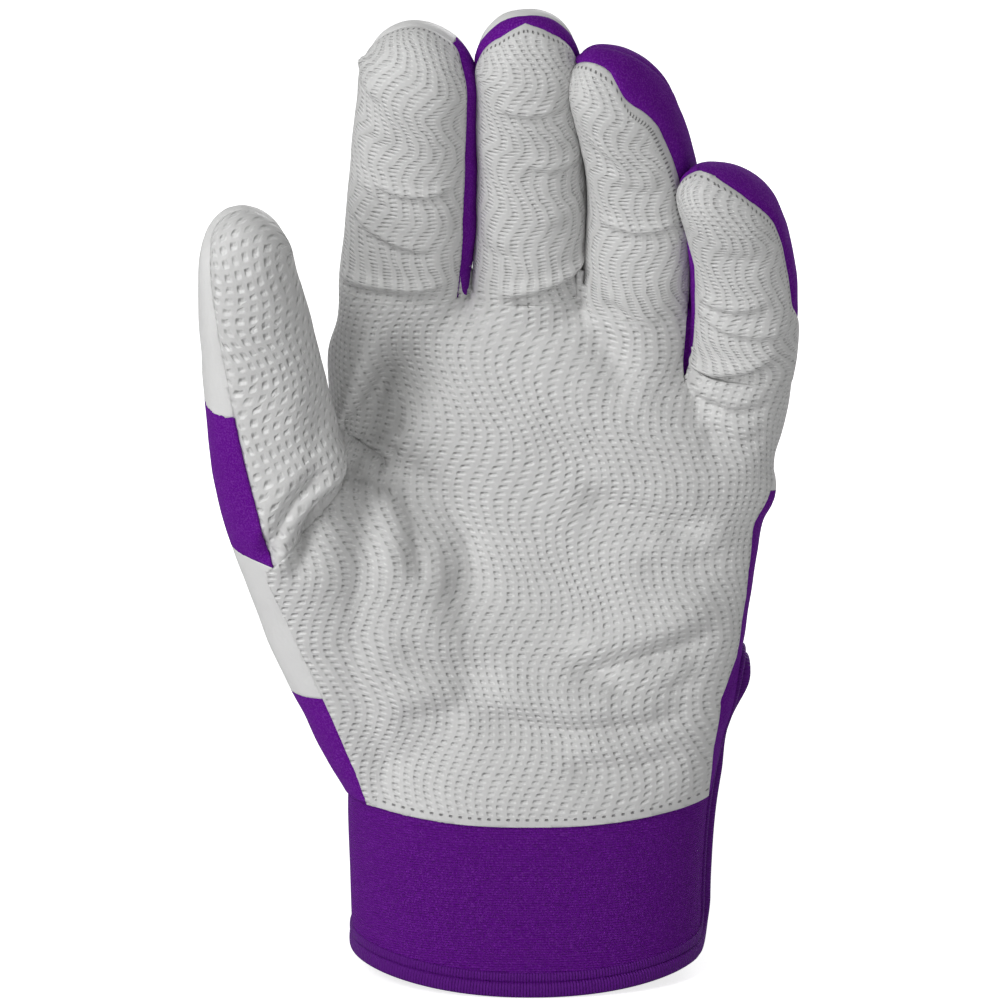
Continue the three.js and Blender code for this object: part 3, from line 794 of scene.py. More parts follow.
LEATHER = (0.66, 0.66, 0.655, 1)
LEATHER_DARK = (0.57, 0.57, 0.565, 1)
LEATHER_PALE = (0.67, 0.67, 0.665, 1)
# painted shade for each pit's upper corner and a painted highlight for its lower lip
PIT_PAINTED_SHADE = (0.32, 0.32, 0.315, 1)
PIT_PAINTED_HIGHLIGHT = (0.82, 0.82, 0.815, 1)
# painted shade inside the needle holes, which the bump also sinks
NEEDLE_HOLE_SHADE = (0.26, 0.26, 0.26, 1)
PIT_DEPTH = 0.00025
HOLE_DEPTH = 1.5
tree, inputs = plain_material("embossed_leather", LEATHER, roughness=0.43)
pits = add_node(tree, "Group", {"Flow": uv_place(tree, "flow")}, node_tree=pit_rows).outputs
needles = add_node(tree, "Group", {"Edge": uv_place(tree, "edge")}, node_tree=needle_row).outputs
sunk = calc(tree, "MULTIPLY", pits["Pit"], needles["Field"])
hollow = calc(tree, "MAXIMUM", sunk, calc(tree, "MULTIPLY", needles["Hole"], HOLE_DEPTH))
pitted = bump(tree, calc(tree, "MULTIPLY", hollow, -1.0), PIT_DEPTH)
pores = noise_of(tree, scale=1500, detail=3)
tree.links.new(bump(tree, pores, 0.00012, strength=0.6, under=pitted), inputs["Normal"])
tint = mix_colour(tree, noise_of(tree, scale=900, detail=2), LEATHER_DARK, LEATHER_PALE)
# paints shade into each pit's upper corner and a highlight onto its lower lip
for mark, colour in (("PaintedShadeCorner", PIT_PAINTED_SHADE), ("PaintedHighlightLip", PIT_PAINTED_HIGHLIGHT)):
    tint = mix_colour(tree, calc(tree, "MULTIPLY", pits[mark], needles["Field"]), tint, colour)
# the needle holes are darkened with painted shade as well as sunk
tree.links.new(mix_colour(tree, needles["Hole"], tint, NEEDLE_HOLE_SHADE), inputs["Base Color"])

tree, inputs = plain_material("smooth_leather", (0.71, 0.71, 0.705, 1), roughness=0.45)
pores = noise_of(tree, scale=1300, detail=4)
tree.links.new(bump(tree, pores, 0.00015, strength=0.6), inputs["Normal"])

PURPLE = (0.116, 0.0042, 0.245, 1)
LOFTED = (0.185, 0.026, 0.34, 1)
SHEEN = (0.4, 0.1, 0.6, 1)
RIB_PITCH = 0.0005
WEAVE_PITCH = 0.6


def knit(name, roughness, scale, sheen):
    """A purple knit with its speckle; returns its nodes, its shader's inputs and the height of its yarns."""
    tree, inputs = plain_material(name, PURPLE, roughness, specular=0.05)
    inputs["Sheen Weight"].default_value = sheen
    inputs["Sheen Tint"].default_value = SHEEN
    yarns = add_node(tree, "Group", {"Place": object_place(tree), "Scale": scale}, node_tree=speckle)
    loft = yarns.outputs["Loft"]
    tree.links.new(mix_colour(tree, loft, PURPLE, LOFTED), inputs["Base Color"])
    return tree, inputs, loft


tree, inputs, loft = knit("stretch_fabric", roughness=0.75, scale=3200, sheen=0.05)
tree.links.new(bump(tree, loft, 0.00012, strength=0.7), inputs["Normal"])

tree, inputs, loft = knit("cuff_neoprene", roughness=0.7, scale=3800, sheen=0.06)
ribs = ribbed(tree, split_xyz(tree, object_place(tree))["Z"], RIB_PITCH, depth=0.0001)
tree.links.new(bump(tree, loft, 0.0001, strength=0.7, under=ribs), inputs["Normal"])

tree, inputs = plain_material("edge_tape", (0.1, 0.005, 0.205, 1), roughness=0.6, specular=0.15)
ribs = ribbed(tree, split_xyz(tree, uv_place(tree, "flow"))["X"], WEAVE_PITCH, depth=0.00009)
fuzz = noise_of(tree, scale=2200, detail=2)
tree.links.new(bump(tree, fuzz, 0.0002, strength=0.7, under=ribs), inputs["Normal"])
plain_material("hook_and_loop", (0.03, 0.004, 0.07, 1), roughness=0.9)
plain_material("pull_rubber", (0.62, 0.62, 0.62, 1), roughness=0.5)

# The palm, the back and the thumb
# Each cut skin becomes a sheet with a wall. The embossed leather of the palm and the thumb stands a little
# proud of the panels beside it, and the thumb's sheets start at its slanting fold, where the front one laps
# under the palm.
SHEET_WALL = 1.0
LEATHER_PROUD = 0.5
# the length past a joint at which the second point of each joint's line is taken
JOINT_REACH = 14


def finish(bm, name, slot, nodes, body=None, joined=None, wall=SHEET_WALL, **layers):
    """Turns a cut skin into a piece with its wall and its material, and hides the parts it stands for; a
    piece on one body is parented to it, a piece across a joint only has its place baked into its mesh.
    """
    bm.verts.index_update()
    for label, values in layers.items():
        layer = bm.loops.layers.uv.new(label)
        for face in bm.faces:
            for loop in face.loops:
                loop[layer].uv = values[loop.vert.index]
    bmesh.ops.scale(bm, verts=bm.verts, vec=(MM, MM, MM))
    for face in bm.faces:
        face.smooth = True
    mesh = mesh_of(bm, name)
    bm.free()
    piece = in_scene(name, mesh)
    mesh.materials.append(looks[slot])
    if wall:
        thick = piece.modifiers.new("wall", "SOLIDIFY")
        thick.thickness = wall * MM
        thick.offset = -1
        whole = evaluated(piece)
        piece.modifiers.clear()
        piece.data = whole
        bpy.data.meshes.remove(mesh)
    if joined:
        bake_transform(piece)
    else:
        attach(piece, body)
    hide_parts(*nodes)


def waves(u, v, *terms):
    """A sum of waves over a sheet: the swing of each, its lengths across and up the sheet, and its start."""
    return sum(swing * np.sin(u / across + v / up + start) for swing, across, up, start in terms)


# between these x, and behind this depth, the embossing goes round the edges of the hand, at this pace
EDGE_LEFT = (-34, -40)
EDGE_RIGHT = (28, 38)
EDGE_DEPTH = -10
EDGE_PACE = 0.8


def palm_flow(spots):
    """Where the embossing lies on the palm: its columns run in long waves."""
    x, y, z = spots.T
    round_edge = ease(*EDGE_RIGHT, x) - ease(*EDGE_LEFT, x)
    u = x + round_edge * np.maximum(0, y - EDGE_DEPTH) * EDGE_PACE
    wave_u = u + waves(u, z, (2.2, 22, 4.6, 0.6 * np.sin(u / 11)), (1.5, -15, 19, 0))
    wave_v = z + waves(u, z, (2.2, 13, 36, 0), (0.5, 5, 17, 2))
    wave_u += 0.5 * grain(spots, size=4, seed=41)
    wave_v += 0.3 * grain(spots, size=4, seed=47)
    return np.stack([wave_u, wave_v], axis=1)


PALM_STITCH = 1.9
STITCHES_UP = 0.4
EDGE_SLANT = 0.93
# a distance from the edge at which no needle holes show
NO_HOLES = 9.0


def palm_edge_place(spots):
    """Along and away from the row of stitches above the cuff; the slanting edge by the thumb shows none."""
    x, z = spots[:, 0], spots[:, 2]
    beside = (x - line_x(PALM_EDGE, z)) * EDGE_SLANT
    low = above_cuff(spots)
    return np.where((low < beside)[:, None],
                    np.stack([x * NEEDLE_PITCH / PALM_STITCH, low - STITCHES_UP], axis=1),
                    np.stack([z, beside + NO_HOLES], axis=1))


# how fast the embossing runs on over a rounded tip
FLOW_PACE = 0.9


def up_and_over(stall, laid, reach, pace):
    """Distance up a stall and on over its rounded tip, for points that reach this far out of its middle."""
    shoulder, tip = tip_of(stall)
    over = np.arctan2(np.maximum(laid[:, 2] - shoulder, 0) / tip, reach)
    return np.minimum(laid[:, 2], shoulder) + over * pace * tip


# the thumb's embossing lies on a slant: what its columns and its rows take from the ways across and up
THUMB_COLUMNS = (1.1, -0.23)
THUMB_ROWS = (-0.16, 0.55)


def thumb_flow(spots):
    """Where the embossing lies on the thumb: its rows slant across the stall."""
    laid = on_thumb(spots)
    shoulder = tip_of(THUMB)[0]
    v = up_and_over(THUMB, laid, np.maximum(-laid[:, 1], 0) / THUMB["depth"][2], FLOW_PACE)
    u = laid[:, 0] + laid[:, 1] * 0.6 * ease(shoulder, shoulder - 20, laid[:, 2])
    ways = np.stack([u + waves(u, v, (1.2, 9, 3.4, 0)), v + waves(u, v, (0.8, 6, 17, 0))])
    return np.stack([THUMB_COLUMNS @ ways, THUMB_ROWS @ ways], axis=1)


def at_fold(step):
    return Vector((THUMB_FORK[0] + FOLD_OUT[0] * step, 0, THUMB_FORK[1] + FOLD_OUT[1] * step)) * MM


SEAM_WIDTH = 0.9
SEAM_SUNK_FRONT = 0.9
SEAM_SUNK_BACK = 0.5
LAP_SUNK = 0.25
thumb_joint = ("hand", "thumb", at_fold(0), at_fold(JOINT_REACH))
raise_by(palm_skin, LEATHER_PROUD)
spots = places(palm_skin)
finish(palm_skin, "palm_sheet", "embossed_leather", ["palm_leather"], "hand",
       flow=palm_flow(spots), edge=palm_edge_place(spots))
finish(radial_skin, "thumb_side_sheet", "smooth_leather", ["thumb_side_panel"], joined=thumb_joint)
finish(knuckle_skin, "knuckle_sheet", "smooth_leather", ["knuckle_panel"], "hand")
finish(wrist_skin, "wrist_sheet", "stretch_fabric", ["wrist_panel"], "hand")
finish(back_skin, "back_sheet", "stretch_fabric", ["back_panel"], "hand")
spots = places(thumb_front_skin)
lap = LAP_SUNK * ease(0.6, -0.4, thumb_zone(spots))
sunk = SEAM_SUNK_FRONT * bell(thumb_front(spots), SEAM_WIDTH)
raise_by(thumb_front_skin, LEATHER_PROUD - lap - sunk)
finish(thumb_front_skin, "thumb_front_sheet", "embossed_leather", ["thumb_palm_leather"], joined=thumb_joint,
       flow=thumb_flow(spots), edge=np.full((len(spots), 2), NO_HOLES))
raise_by(thumb_back_skin, -SEAM_SUNK_BACK * bell(thumb_front(places(thumb_back_skin)), SEAM_WIDTH))
finish(thumb_back_skin, "thumb_back_sheet", "smooth_leather", ["thumb_back"], joined=thumb_joint)
finish(gusset_skin, "thumb_gusset_sheet", "stretch_fabric", ["thumb_gusset"], joined=thumb_joint)

# The fingers
# Each finger is a stall sewn from a palm-side leather, a back, and a stretch side wall that faces the next
# finger. Its foot carries on from the palm, and grip folds cross the leather at the finger's joints.

# each seam runs along the stall at a depth that changes from its left side to its right: across, depth
SEAM_FRONT = {"index": ((5, 7, 10, 12), (1.5, 0.3, -3.0, -4.8)),
              "middle": ((-12, -9, -5, 0, 5, 9, 12), (0.5, -1.2, -2.2, -1.2, -2.2, -1.8, 0.5)),
              "ring": ((-11, -9, -4, 0, 4, 8, 11), (1.6, 1.5, -1.0, -3.0, -3.8, -3.6, -2.0)),
              "little": ((-12, 0), (-3.4, -3.4))}
# how far a front seam moves back, or forwards if negative, on one side on its way to the tip: side, from, to
# and shift
SEAM_SHIFT = {"ring": (1, 8, 26, -3.0), "little": (-1, 26, 38, 4.9)}
# the depth of the seam between the side wall and the back, and the seam between leather and back where there
# is no wall: across, depth
SEAM_BACK = {"index": 3.6, "middle": 2.2, "ring": 3.6, "little": 3.6}
PLAIN_SEAM = {"index": ((-6, 0, 6), (0.6, 1.6, 1.0)), "middle": ((-1, 1), (0.6, 0.6)),
              "ring": ((-1, 1), (0.6, 0.6)), "little": ((-9, -3, 0, 5, 9), (3.5, 1.5, -1.2, -4.2, -4.6))}
# how far the seam between leather and back moves back at the foot
PLAIN_RISE = {"index": 0, "middle": 0, "ring": 0, "little": 6.0}
# the side wall's reach across the stall
WALL_SPAN = {"index": (6, 90), "middle": (-90, 90), "ring": (-90, 90), "little": (-90, -3)}
BACK_LOOK = {"index": "smooth_leather", "middle": "smooth_leather",
             "ring": "stretch_fabric", "little": "stretch_fabric"}
# the radius at which a stall is unrolled, and the depths between which its folds fade out
GIRTH = 10.5
FINGER_FRONT = (5, -3)
# how a stall wanders to its right as it rises from its foot: heights and shifts
SWAY = {"index": ((0, 12, 30, 60), (0, 0.8, 1.0, 0.6)), "middle": ((0, 15, 35, 62), (0, 1.0, 1.2, 1.5)),
        "ring": ((0, 14, 28, 42, 58), (0, 1.4, 2.2, 0.8, -1.8)),
        "little": ((0, 25, 40, 52), (0, 0.2, -0.4, -1.8))}
# how steeply a tip slopes down to its right, and how far a side wall puffs out
TIP_SLOPE = {"index": 0, "middle": 0, "ring": 0.32, "little": 0.42}
WALL_PUFF = {"index": 0.8, "middle": 0, "ring": 0, "little": 0.4}

# folds across each finger: points as an angle from the middle of the front and a distance past the foot,
# then the valley's depth and width and the height of the ridges beside it
FINGER_FOLDS = {
    "index": [([(-34, 26.4), (-4, 25.2), (30, 25.6), (62, 27.6)], 1.3, 0.9, 0.9),
              ([(-52, 25.6), (-20, 22.4), (-4, 21.4)], 0.6, 1.1, 0.4),
              ([(-66, 17.4), (-30, 14.4), (0, 12.6), (44, 11.8)], 1.3, 1.0, 0.9),
              ([(-70, 0.6), (-34, 1.8), (20, 2.4), (66, 3.2)], 1.5, 1.1, 1.5),
              ([(-70, 49), (-44, 46), (-20, 47)], 0.8, 1.6, 0.5), ([(-50, 38), (-16, 35.6)], 0.4, 2.0, 0.4),
              ([(-86, 57), (-60, 58.5)], -1.3, 0.9, 0)],
    "middle": [([(-36, 46.6), (0, 45.8), (40, 46.4)], 1.0, 1.2, 0.8),
               ([(-10, 33.4), (20, 31.0), (64, 30.6)], 0.9, 1.2, 0.7),
               ([(-30, -0.4), (14, 2.4), (44, 4.4), (80, 6.4)], 2.0, 1.2, 1.5),
               ([(-50, 10), (-10, 12)], 0.4, 1.8, 0.3), ([(10, 17), (60, 19)], 0.4, 1.8, 0.3)],
    "ring": [([(-48, 22.0), (-5, 20.8), (58, 21.7)], 1.3, 1.0, 0.9),
             ([(-34, 4.4), (-4, 0.4), (26, -3.5)], 1.0, 1.6, 0.6),
             ([(-46, 43), (-20, 39.6), (-16, 36)], 0.8, 1.3, 0.6), ([(-30, 33), (30, 31)], 0.4, 2.0, 0.4)],
    "little": [([(-60, 17.8), (-10, 17.0), (40, 18.4)], 0.8, 1.2, 0.7),
               ([(-66, 14.6), (-22, 11.4), (40, 10.0), (66, 10.4)], 1.1, 1.1, 0.8),
               ([(-74, -1.6), (-24, -0.6), (12, 2.0), (52, 6.0)], 1.6, 1.2, 1.4),
               ([(-30, 33), (30, 31)], 0.4, 1.8, 0.3)],
}


def crease_point(name, step):
    """A point on a finger's centre line some way past its crease, in metres."""
    return Vector(read_path(paths[name], "at", FINGERS[name]["crease"] + step)) * MM


def unrolled(name, laid):
    """A stall's surface laid flat: across from the middle of its front, and up over the tip."""
    stall = FINGERS[name]
    width, depth = girth(stall, laid[:, 2])
    fullness = np.clip(np.hypot(laid[:, 0] / width, laid[:, 1] / depth), 0, 1)
    turned = (np.arctan2(laid[:, 1], laid[:, 0]) + 1.5 * math.pi) % (2 * math.pi) - math.pi
    return turned * GIRTH * fullness, up_and_over(stall, laid, np.abs(laid[:, 1]) / depth, FLOW_PACE)


def front_seam(name, laid):
    """Depth in front of the seam between the leather and the side wall."""
    side, low, high, shift = SEAM_SHIFT.get(name, (1, 0, 1, 0))
    moved = shift * ease(low, high, laid[:, 2] - FINGERS[name]["crease"]) * ease(0, 3, side * laid[:, 0])
    return np.interp(laid[:, 0], *SEAM_FRONT[name]) + moved - laid[:, 1]


def plain_seam(name, laid):
    """Depth in front of the seam between the leather and the back, which moves back at the foot."""
    low = PLAIN_RISE[name] * (1 - ease(7, 17, laid[:, 2] - FINGERS[name]["crease"])) * ease(0, 5, laid[:, 0])
    return np.interp(laid[:, 0], *PLAIN_SEAM[name]) + low - laid[:, 1]


# how widely and how deeply a stall is pinched at its seams, and how widely its wall puffs out
PINCH_WIDTH = 0.8
PINCH_DEPTH = 0.7
PUFF_WIDTH = 3


def finger_shape(name, laid):
    """Pinches a laid-out stall at its seams, puffs the wall between them, and lets it wander a little."""
    low, high = WALL_SPAN[name]
    length = FINGERS[name]["length"]
    beside = ease(low - 2, low + 2, laid[:, 0]) * ease(high + 2, high - 2, laid[:, 0])
    out = laid[:, :2] / np.maximum(np.linalg.norm(laid[:, :2], axis=1), 0.5)[:, None]
    pinch = beside * bell(front_seam(name, laid), PINCH_WIDTH)
    pinch += beside * bell(laid[:, 1] - SEAM_BACK[name], PINCH_WIDTH)
    pinch += (1 - beside) * bell(plain_seam(name, laid), PINCH_WIDTH)
    middle = (SEAM_BACK[name] + np.interp(laid[:, 0], *SEAM_FRONT[name])) / 2
    puff = WALL_PUFF[name] * beside * bell(laid[:, 1] - middle, PUFF_WIDTH)
    rise = 0.3 * grain(laid, size=11, seed=11 + length) - PINCH_DEPTH * pinch + puff
    shaped = laid.copy()
    shaped[:, :2] += out * rise[:, None]
    shaped[:, 0] += through(*SWAY[name], laid[:, 2] - FINGERS[name]["crease"])
    shaped[:, 2] -= TIP_SLOPE[name] * laid[:, 0] * ease(length - 22, length - 3, laid[:, 2])
    return shaped


def finger_folds(name, laid):
    """Height of the grip folds on the palm side of a stall."""
    u, v = unrolled(name, laid)
    past = v - FINGERS[name]["crease"] + 0.25 * np.sin(u / 3.3)
    folds = [([(math.radians(angle) * GIRTH, distance) for angle, distance in line], *form)
             for line, *form in FINGER_FOLDS[name]]
    return 0.12 * grain(laid, size=4, seed=5) + ease(*FINGER_FRONT, laid[:, 1]) * folds_at(u, past, folds)


def onto_foot(name, laid, spots):
    """Brings the foot of a stall onto the skin of the palm or the back, so that they carry on smoothly."""
    past = laid[:, 2] - FINGERS[name]["crease"]
    facing = np.abs(laid[:, 1]) / np.maximum(np.linalg.norm(laid[:, :2], axis=1), 0.5)
    hold = (1 - ease(1.5, 9, past)) * ease(0.35, 0.75, facing)
    for i in np.nonzero(hold > 0)[0]:
        near = foot_skin.find_nearest(Vector(spots[i]))[0]
        spots[i] += (np.array(near) - spots[i]) * hold[i]
    return spots


def cut_plane(bm, spot, normal):
    bmesh.ops.bisect_plane(bm, geom=bm.verts[:] + bm.edges[:] + bm.faces[:], dist=0.01,
                           plane_co=spot, plane_no=normal)


# the pace of the embossing's columns and rows on a finger
FINGER_COLUMNS = 0.96
FINGER_ROWS = 1.42


def finger_flow(name, laid, spots):
    """The embossing on a finger, which carries on from the palm's at its foot."""
    u, v = unrolled(name, laid)
    crease = FINGERS[name]["crease"]
    foot = np.array(crease_point(name, 0))[None] / MM
    sway = 0.7 + 0.025 * (v - crease)
    own_u = FINGER_COLUMNS * u + waves(u, v, (sway, 7, 2.7, 0))
    own_v = FINGER_ROWS * (v - crease) + waves(u, v, (0.6, 3.6, 12, 0))
    own_u += 0.6 * grain(laid, size=2.5, seed=31)
    own_v += 0.3 * grain(laid, size=2.5, seed=37)
    own = np.stack([own_u, own_v], axis=1)
    share = ease(-1, 10, laid[:, 2] - crease)[:, None]
    return palm_flow(spots) * (1 - share) + (own + palm_flow(foot)) * share


def finger_edge_place(name, laid):
    """Along and away from the sewn edge of a finger's palm-side leather."""
    stall = FINGERS[name]
    low, high = WALL_SPAN[name]
    walled = (laid[:, 0] > low) & (laid[:, 0] < high)
    away = np.where(walled, front_seam(name, laid), plain_seam(name, laid))
    return np.stack([up_and_over(stall, laid, np.abs(laid[:, 0]) / stall["width"][2], 1), away], axis=1)


# how far below its crease a stall is laid out, and how far below it the front and back sheets end
STALL_START = 8.0
STALL_FOOT = 2
# how far each sheet stands out from the stall, and how far its foot is tucked in
PROUD = {"front_sheet": 0.5, "side_sheet": 0.4, "back_sheet": 0.1}
TUCK = {"front_sheet": 0.1, "side_sheet": 0.1, "back_sheet": 0.6}
for name, stall in FINGERS.items():
    low, high = WALL_SPAN[name]
    back_seam = SEAM_BACK[name]
    foot = stall["crease"] - STALL_FOOT
    whole = laid_stall(stall, stall["crease"] - STALL_START, stall["length"], sides=120, spacing=0.6)
    end_caps = [f for f in whole.faces if len(f.verts) > 8]
    bmesh.ops.delete(whole, geom=end_caps, context="FACES")
    cut_along(whole, lambda s: front_seam(name, s))
    cut_along(whole, lambda s: plain_seam(name, s))
    cut_along(whole, lambda s: s[:, 1] - back_seam)
    for seam in (low, high):
        cut_along(whole, lambda s: s[:, 0] - seam)
    cut_along(whole, lambda s: s[:, 2] - foot)

    def in_wall(m):
        return (m[:, 0] > low) & (m[:, 0] < high) & (front_seam(name, m) < 0) & (m[:, 1] < back_seam)

    def in_front(m):
        return (plain_seam(name, m) > 0) & ~in_wall(m) & (m[:, 2] > foot)

    def in_back(m):
        return (plain_seam(name, m) <= 0) & ~in_wall(m) & (m[:, 2] > foot)

    parts = [("front_sheet", in_front, "embossed_leather", "palm_leather"),
             ("side_sheet", in_wall, "stretch_fabric", "side_wall"),
             ("back_sheet", in_back, BACK_LOOK[name], "back")]
    for label, wanted, slot, node in parts:
        sheet = only_faces(whole, wanted)
        laid = places(sheet)
        tuck = -TUCK[label] * (1 - ease(-0.4, 2.5, laid[:, 2] - stall["crease"]))
        spots = bent(paths[name], finger_shape(name, laid))
        if label != "side_sheet":
            spots = onto_foot(name, laid, spots)
        move_to(sheet, spots)
        raise_by(sheet, PROUD[label] + tuck + finger_folds(name, laid))
        smooth(sheet, [v for v in sheet.verts if not v.is_boundary], 0.4)
        layers = {}
        if label == "front_sheet":
            layers = {"flow": finger_flow(name, laid, spots), "edge": finger_edge_place(name, laid)}
        if label == "side_sheet" and name in web_skins:
            add_copy(sheet, web_skins[name])
        joint = ("hand", f"{name}_finger", crease_point(name, 0), crease_point(name, JOINT_REACH))
        finish(sheet, f"{name}_{label}", slot, [f"{name}_{node}"], joined=joint, **layers)
    whole.free()

# The cuff
# A band of neoprene faced with a fine ribbed knit, sewn under the lower edge of the palm leather. It is open
# at the little-finger side, where a slit lets the hand in.
# the hem: how far it has risen at this reach to either side, and how far above it the band ends
HEM_RISE = 4.0
HEM_REACH = 36.2
HEM_TUCK = 0.6
# the corner where the hem turns up into the slit: its height, its radius, how far inside it the band ends,
# and a value for points that lie elsewhere
HEM_CORNER = 3.7
CORNER = 8.0
CORNER_TUCK = 0.8
AWAY_FROM_CORNER = -5.0
TAPE_HALF = 1.7
# how far the band lies inside the hand form, and how far it runs on under the leather
CUFF_INSET = 0.2
CUFF_LAP = 2
CUFF_WALL = 2.0


def hem_at(x):
    return HEM_RISE * (x / HEM_REACH) ** 2


band = unit_tube(sides=220, rings=44, closed=False)
unit = places(band)
turn = np.arctan2(unit[:, 1], unit[:, 0])
level = on_hand(turn, np.zeros(len(unit)), 0)
low = hem_at(level[:, 0]) + HEM_TUCK
top = cuff_top(level[:, 0]) + CUFF_LAP
spots = on_hand(turn, low + unit[:, 2] * (top - low), -CUFF_INSET)
move_to(band, spots)
cut_plane(band, (0, SLIT_MID - SLIT_HALF, 0), (0, 1, 0))
cut_plane(band, (0, SLIT_MID + SLIT_HALF, 0), (0, 1, 0))
band = only_faces(band, lambda m: ~((m[:, 0] > 0) & (np.abs(m[:, 1] - SLIT_MID) < SLIT_HALF)))


def past_corner(spots):
    """Positive below the rounded corner where the hem turns up into the slit."""
    x, y, z = spots.T
    round_off = CORNER + TAPE_HALF
    beside = round_off - (np.abs(y - SLIT_MID) - SLIT_HALF)
    below = round_off - (z - HEM_CORNER)
    corner = np.hypot(beside, below) - round_off + CORNER_TUCK
    return np.where((x > 0) & (beside > 0) & (below > 0), corner, AWAY_FROM_CORNER)


band = parted(band, past_corner)[1]
finish(band, "cuff_band", "cuff_neoprene", ["cuff"], "hand", wall=CUFF_WALL)

# The edge tape
# One woven tape folded over the raw edge of the cuff, all round the hem and up both sides of the slit.
# half the tape's thickness, and for the lip beside it how far in it lies and half its thickness and width
TAPE_THICK = 1.6
LIP_RISE = 2.6
LIP_THICK = 0.7
LIP_HALF = 1.0
TAPE_SQUARENESS = 3.2
ARM_STEPS = 80
HEM_STEPS = 340


def turn_at(y, height):
    """The angle round the hand form's little-finger side at which it has this depth."""
    palm, back = hand_sides(height)[2:]
    reach = np.where(y < 0, -palm, back)
    return np.arcsin(np.sign(y) * np.clip(np.abs(y) / reach, 0, 1) ** (HAND_SQUARENESS / 2))


def unit_rows(rows):
    return rows / np.linalg.norm(rows, axis=1)[:, None]


def run_along(line):
    """The distance along a line of points at each of them."""
    return np.append(0, np.cumsum(np.linalg.norm(np.diff(line, axis=0), axis=1)))


def swept_tape(middle, outward, half_thick, half_wide):
    """A tape with rounded edges along a line, its face turned outwards, and where its weave lies."""
    tangent = unit_rows(np.gradient(middle, axis=0))
    beside = unit_rows(np.cross(outward, tangent))
    run = run_along(middle)
    bm, ring, turn = tube_rings(24, len(middle) - 1)
    thick = squared(np.cos(turn), TAPE_SQUARENESS) * half_thick
    wide = squared(np.sin(turn), TAPE_SQUARENESS) * half_wide
    move_to(bm, middle[ring] + outward[ring] * thick[:, None] + beside[ring] * wide[:, None])
    bmesh.ops.recalc_face_normals(bm, faces=bm.faces)
    return bm, np.stack([run[ring], wide], axis=1)


def outward_at(turn, height):
    return unit_rows(on_hand(turn, height, 1.0) - on_hand(turn, height, 0.0))


def edge_line(inset):
    """The bound edge, some way in from it: down the slit, round the corner, along the hem and up again."""
    arm_gap = SLIT_HALF + TAPE_HALF
    bend = np.radians(np.linspace(90, 0, 16))
    arm_low = HEM_CORNER + TAPE_HALF + CORNER
    arm = np.linspace(SLIT_TOP, arm_low, ARM_STEPS)[1:-1]
    corner = np.radians(np.linspace(0, 90, 18))
    beside = np.concatenate([(arm_gap + inset) * np.cos(bend), np.full(len(arm), arm_gap + inset),
                             arm_gap + CORNER - (CORNER - inset) * np.cos(corner)])
    height = np.concatenate([SLIT_TOP + (arm_gap + inset) * np.sin(bend), arm,
                             arm_low - (CORNER - inset) * np.sin(corner)])
    palm_turn = turn_at(SLIT_MID - beside, height)
    back_turn = turn_at(SLIT_MID + beside, height)
    hem_turn = np.linspace(palm_turn[-1], back_turn[-1] - 2 * math.pi, HEM_STEPS)[1:-1]
    hem_height = hem_at(on_hand(hem_turn, np.zeros(len(hem_turn)), 0)[:, 0]) + TAPE_HALF + inset
    turn = np.concatenate([palm_turn, hem_turn, back_turn[::-1] - 2 * math.pi])
    height = np.concatenate([height, hem_height, height[::-1]])
    return turn, height, np.arange(len(turn)) < len(palm_turn)


# the arm on the palm side stands out, and the arm under the strap lies flat: how far, and the heights over
# which each sets in and ends
ARM_STAND = (1.2, (4, 14), (52, 40))
ARM_FLAT = (-0.7, (6, 12), (44, 36))
# how deep the tape is sunk into the edge, and how far and how widely it stands out at the top of the slit
TAPE_SUNK = 1.2
TOP_STAND = 1.6
TOP_WIDTH = 5
LIP_SUNK = 0.5
edge_turn, edge_height, on_palm_arm = edge_line(0)
palm_stand, back_stand = [stand * ease(*start, edge_height) * ease(*end, edge_height)
                          for stand, start, end in (ARM_STAND, ARM_FLAT)]
edge_lift = np.where(on_palm_arm, palm_stand, back_stand) - TAPE_SUNK
edge_lift += TOP_STAND * bell(edge_height - SLIT_TOP, TOP_WIDTH)
lip_turn, lip_height, on_palm_arm = edge_line(LIP_RISE)
keep = on_palm_arm | (lip_height < HEM_CORNER + CORNER)
lip_turn, lip_height = lip_turn[keep], lip_height[keep]
runs = [(edge_turn, edge_height, edge_lift, TAPE_THICK, TAPE_HALF),
        (lip_turn, lip_height, 0.2 * ease(6, 14, lip_height) - LIP_SUNK, LIP_THICK, LIP_HALF)]
tape = bmesh.new()
weave = []
for turn, height, lift, thick, half in runs:
    strip, along = swept_tape(on_hand(turn, height, lift), outward_at(turn, height), thick, half)
    add_copy(tape, strip)
    weave.append(along)
finish(tape, "edge_tape_roll", "edge_tape", ["edge_tape"], "hand", wall=0, flow=np.vstack(weave))

# The closure
# A strap sewn to the tape on the palm side of the slit crosses to the back of the wrist. Its hook patch
# holds to a loop patch sewn on the cuff, and a moulded pull at its end is there to grip.
STRAP_LOW = 10
STRAP_HIGH = 32
STRAP_CORNER = 5
STRAP_WALL = 1.5
# where the strap leaves the tape, as a depth, and where it ends, as an x, both at this level
STRAP_ROOT = -1.4
STRAP_END = -21
STRAP_LEVEL = 21.0
STRAP_STEPS = 400
# the strap starts sunk in the tape and rises in two steps: how far, and from where to where along it
STRAP_SUNK = 0.6
STRAP_RISES = [(1.9, 0.5, 5), (2.7, 8, 26)]
# each patch: its name, slot, node and body, the x of its two ends, its lower and upper edge, its rounding,
# its wall and how far it lies off the wrist
PATCHES = [("strap_pull_tab", "pull_rubber", "strap_pull", "strap", (-8.0, -19.5), (14, 28), 3, 1.2, 5.2),
           ("hook_patch_pad", "hook_and_loop", "hook_patch", "strap", (6.0, -17.0), (13, 29), 2, 0.8, 2.3),
           ("loop_patch_pad", "hook_and_loop", "loop_patch", "hand", (20.0, -17.0), (13, 29), 2, 0.8, 1.1)]


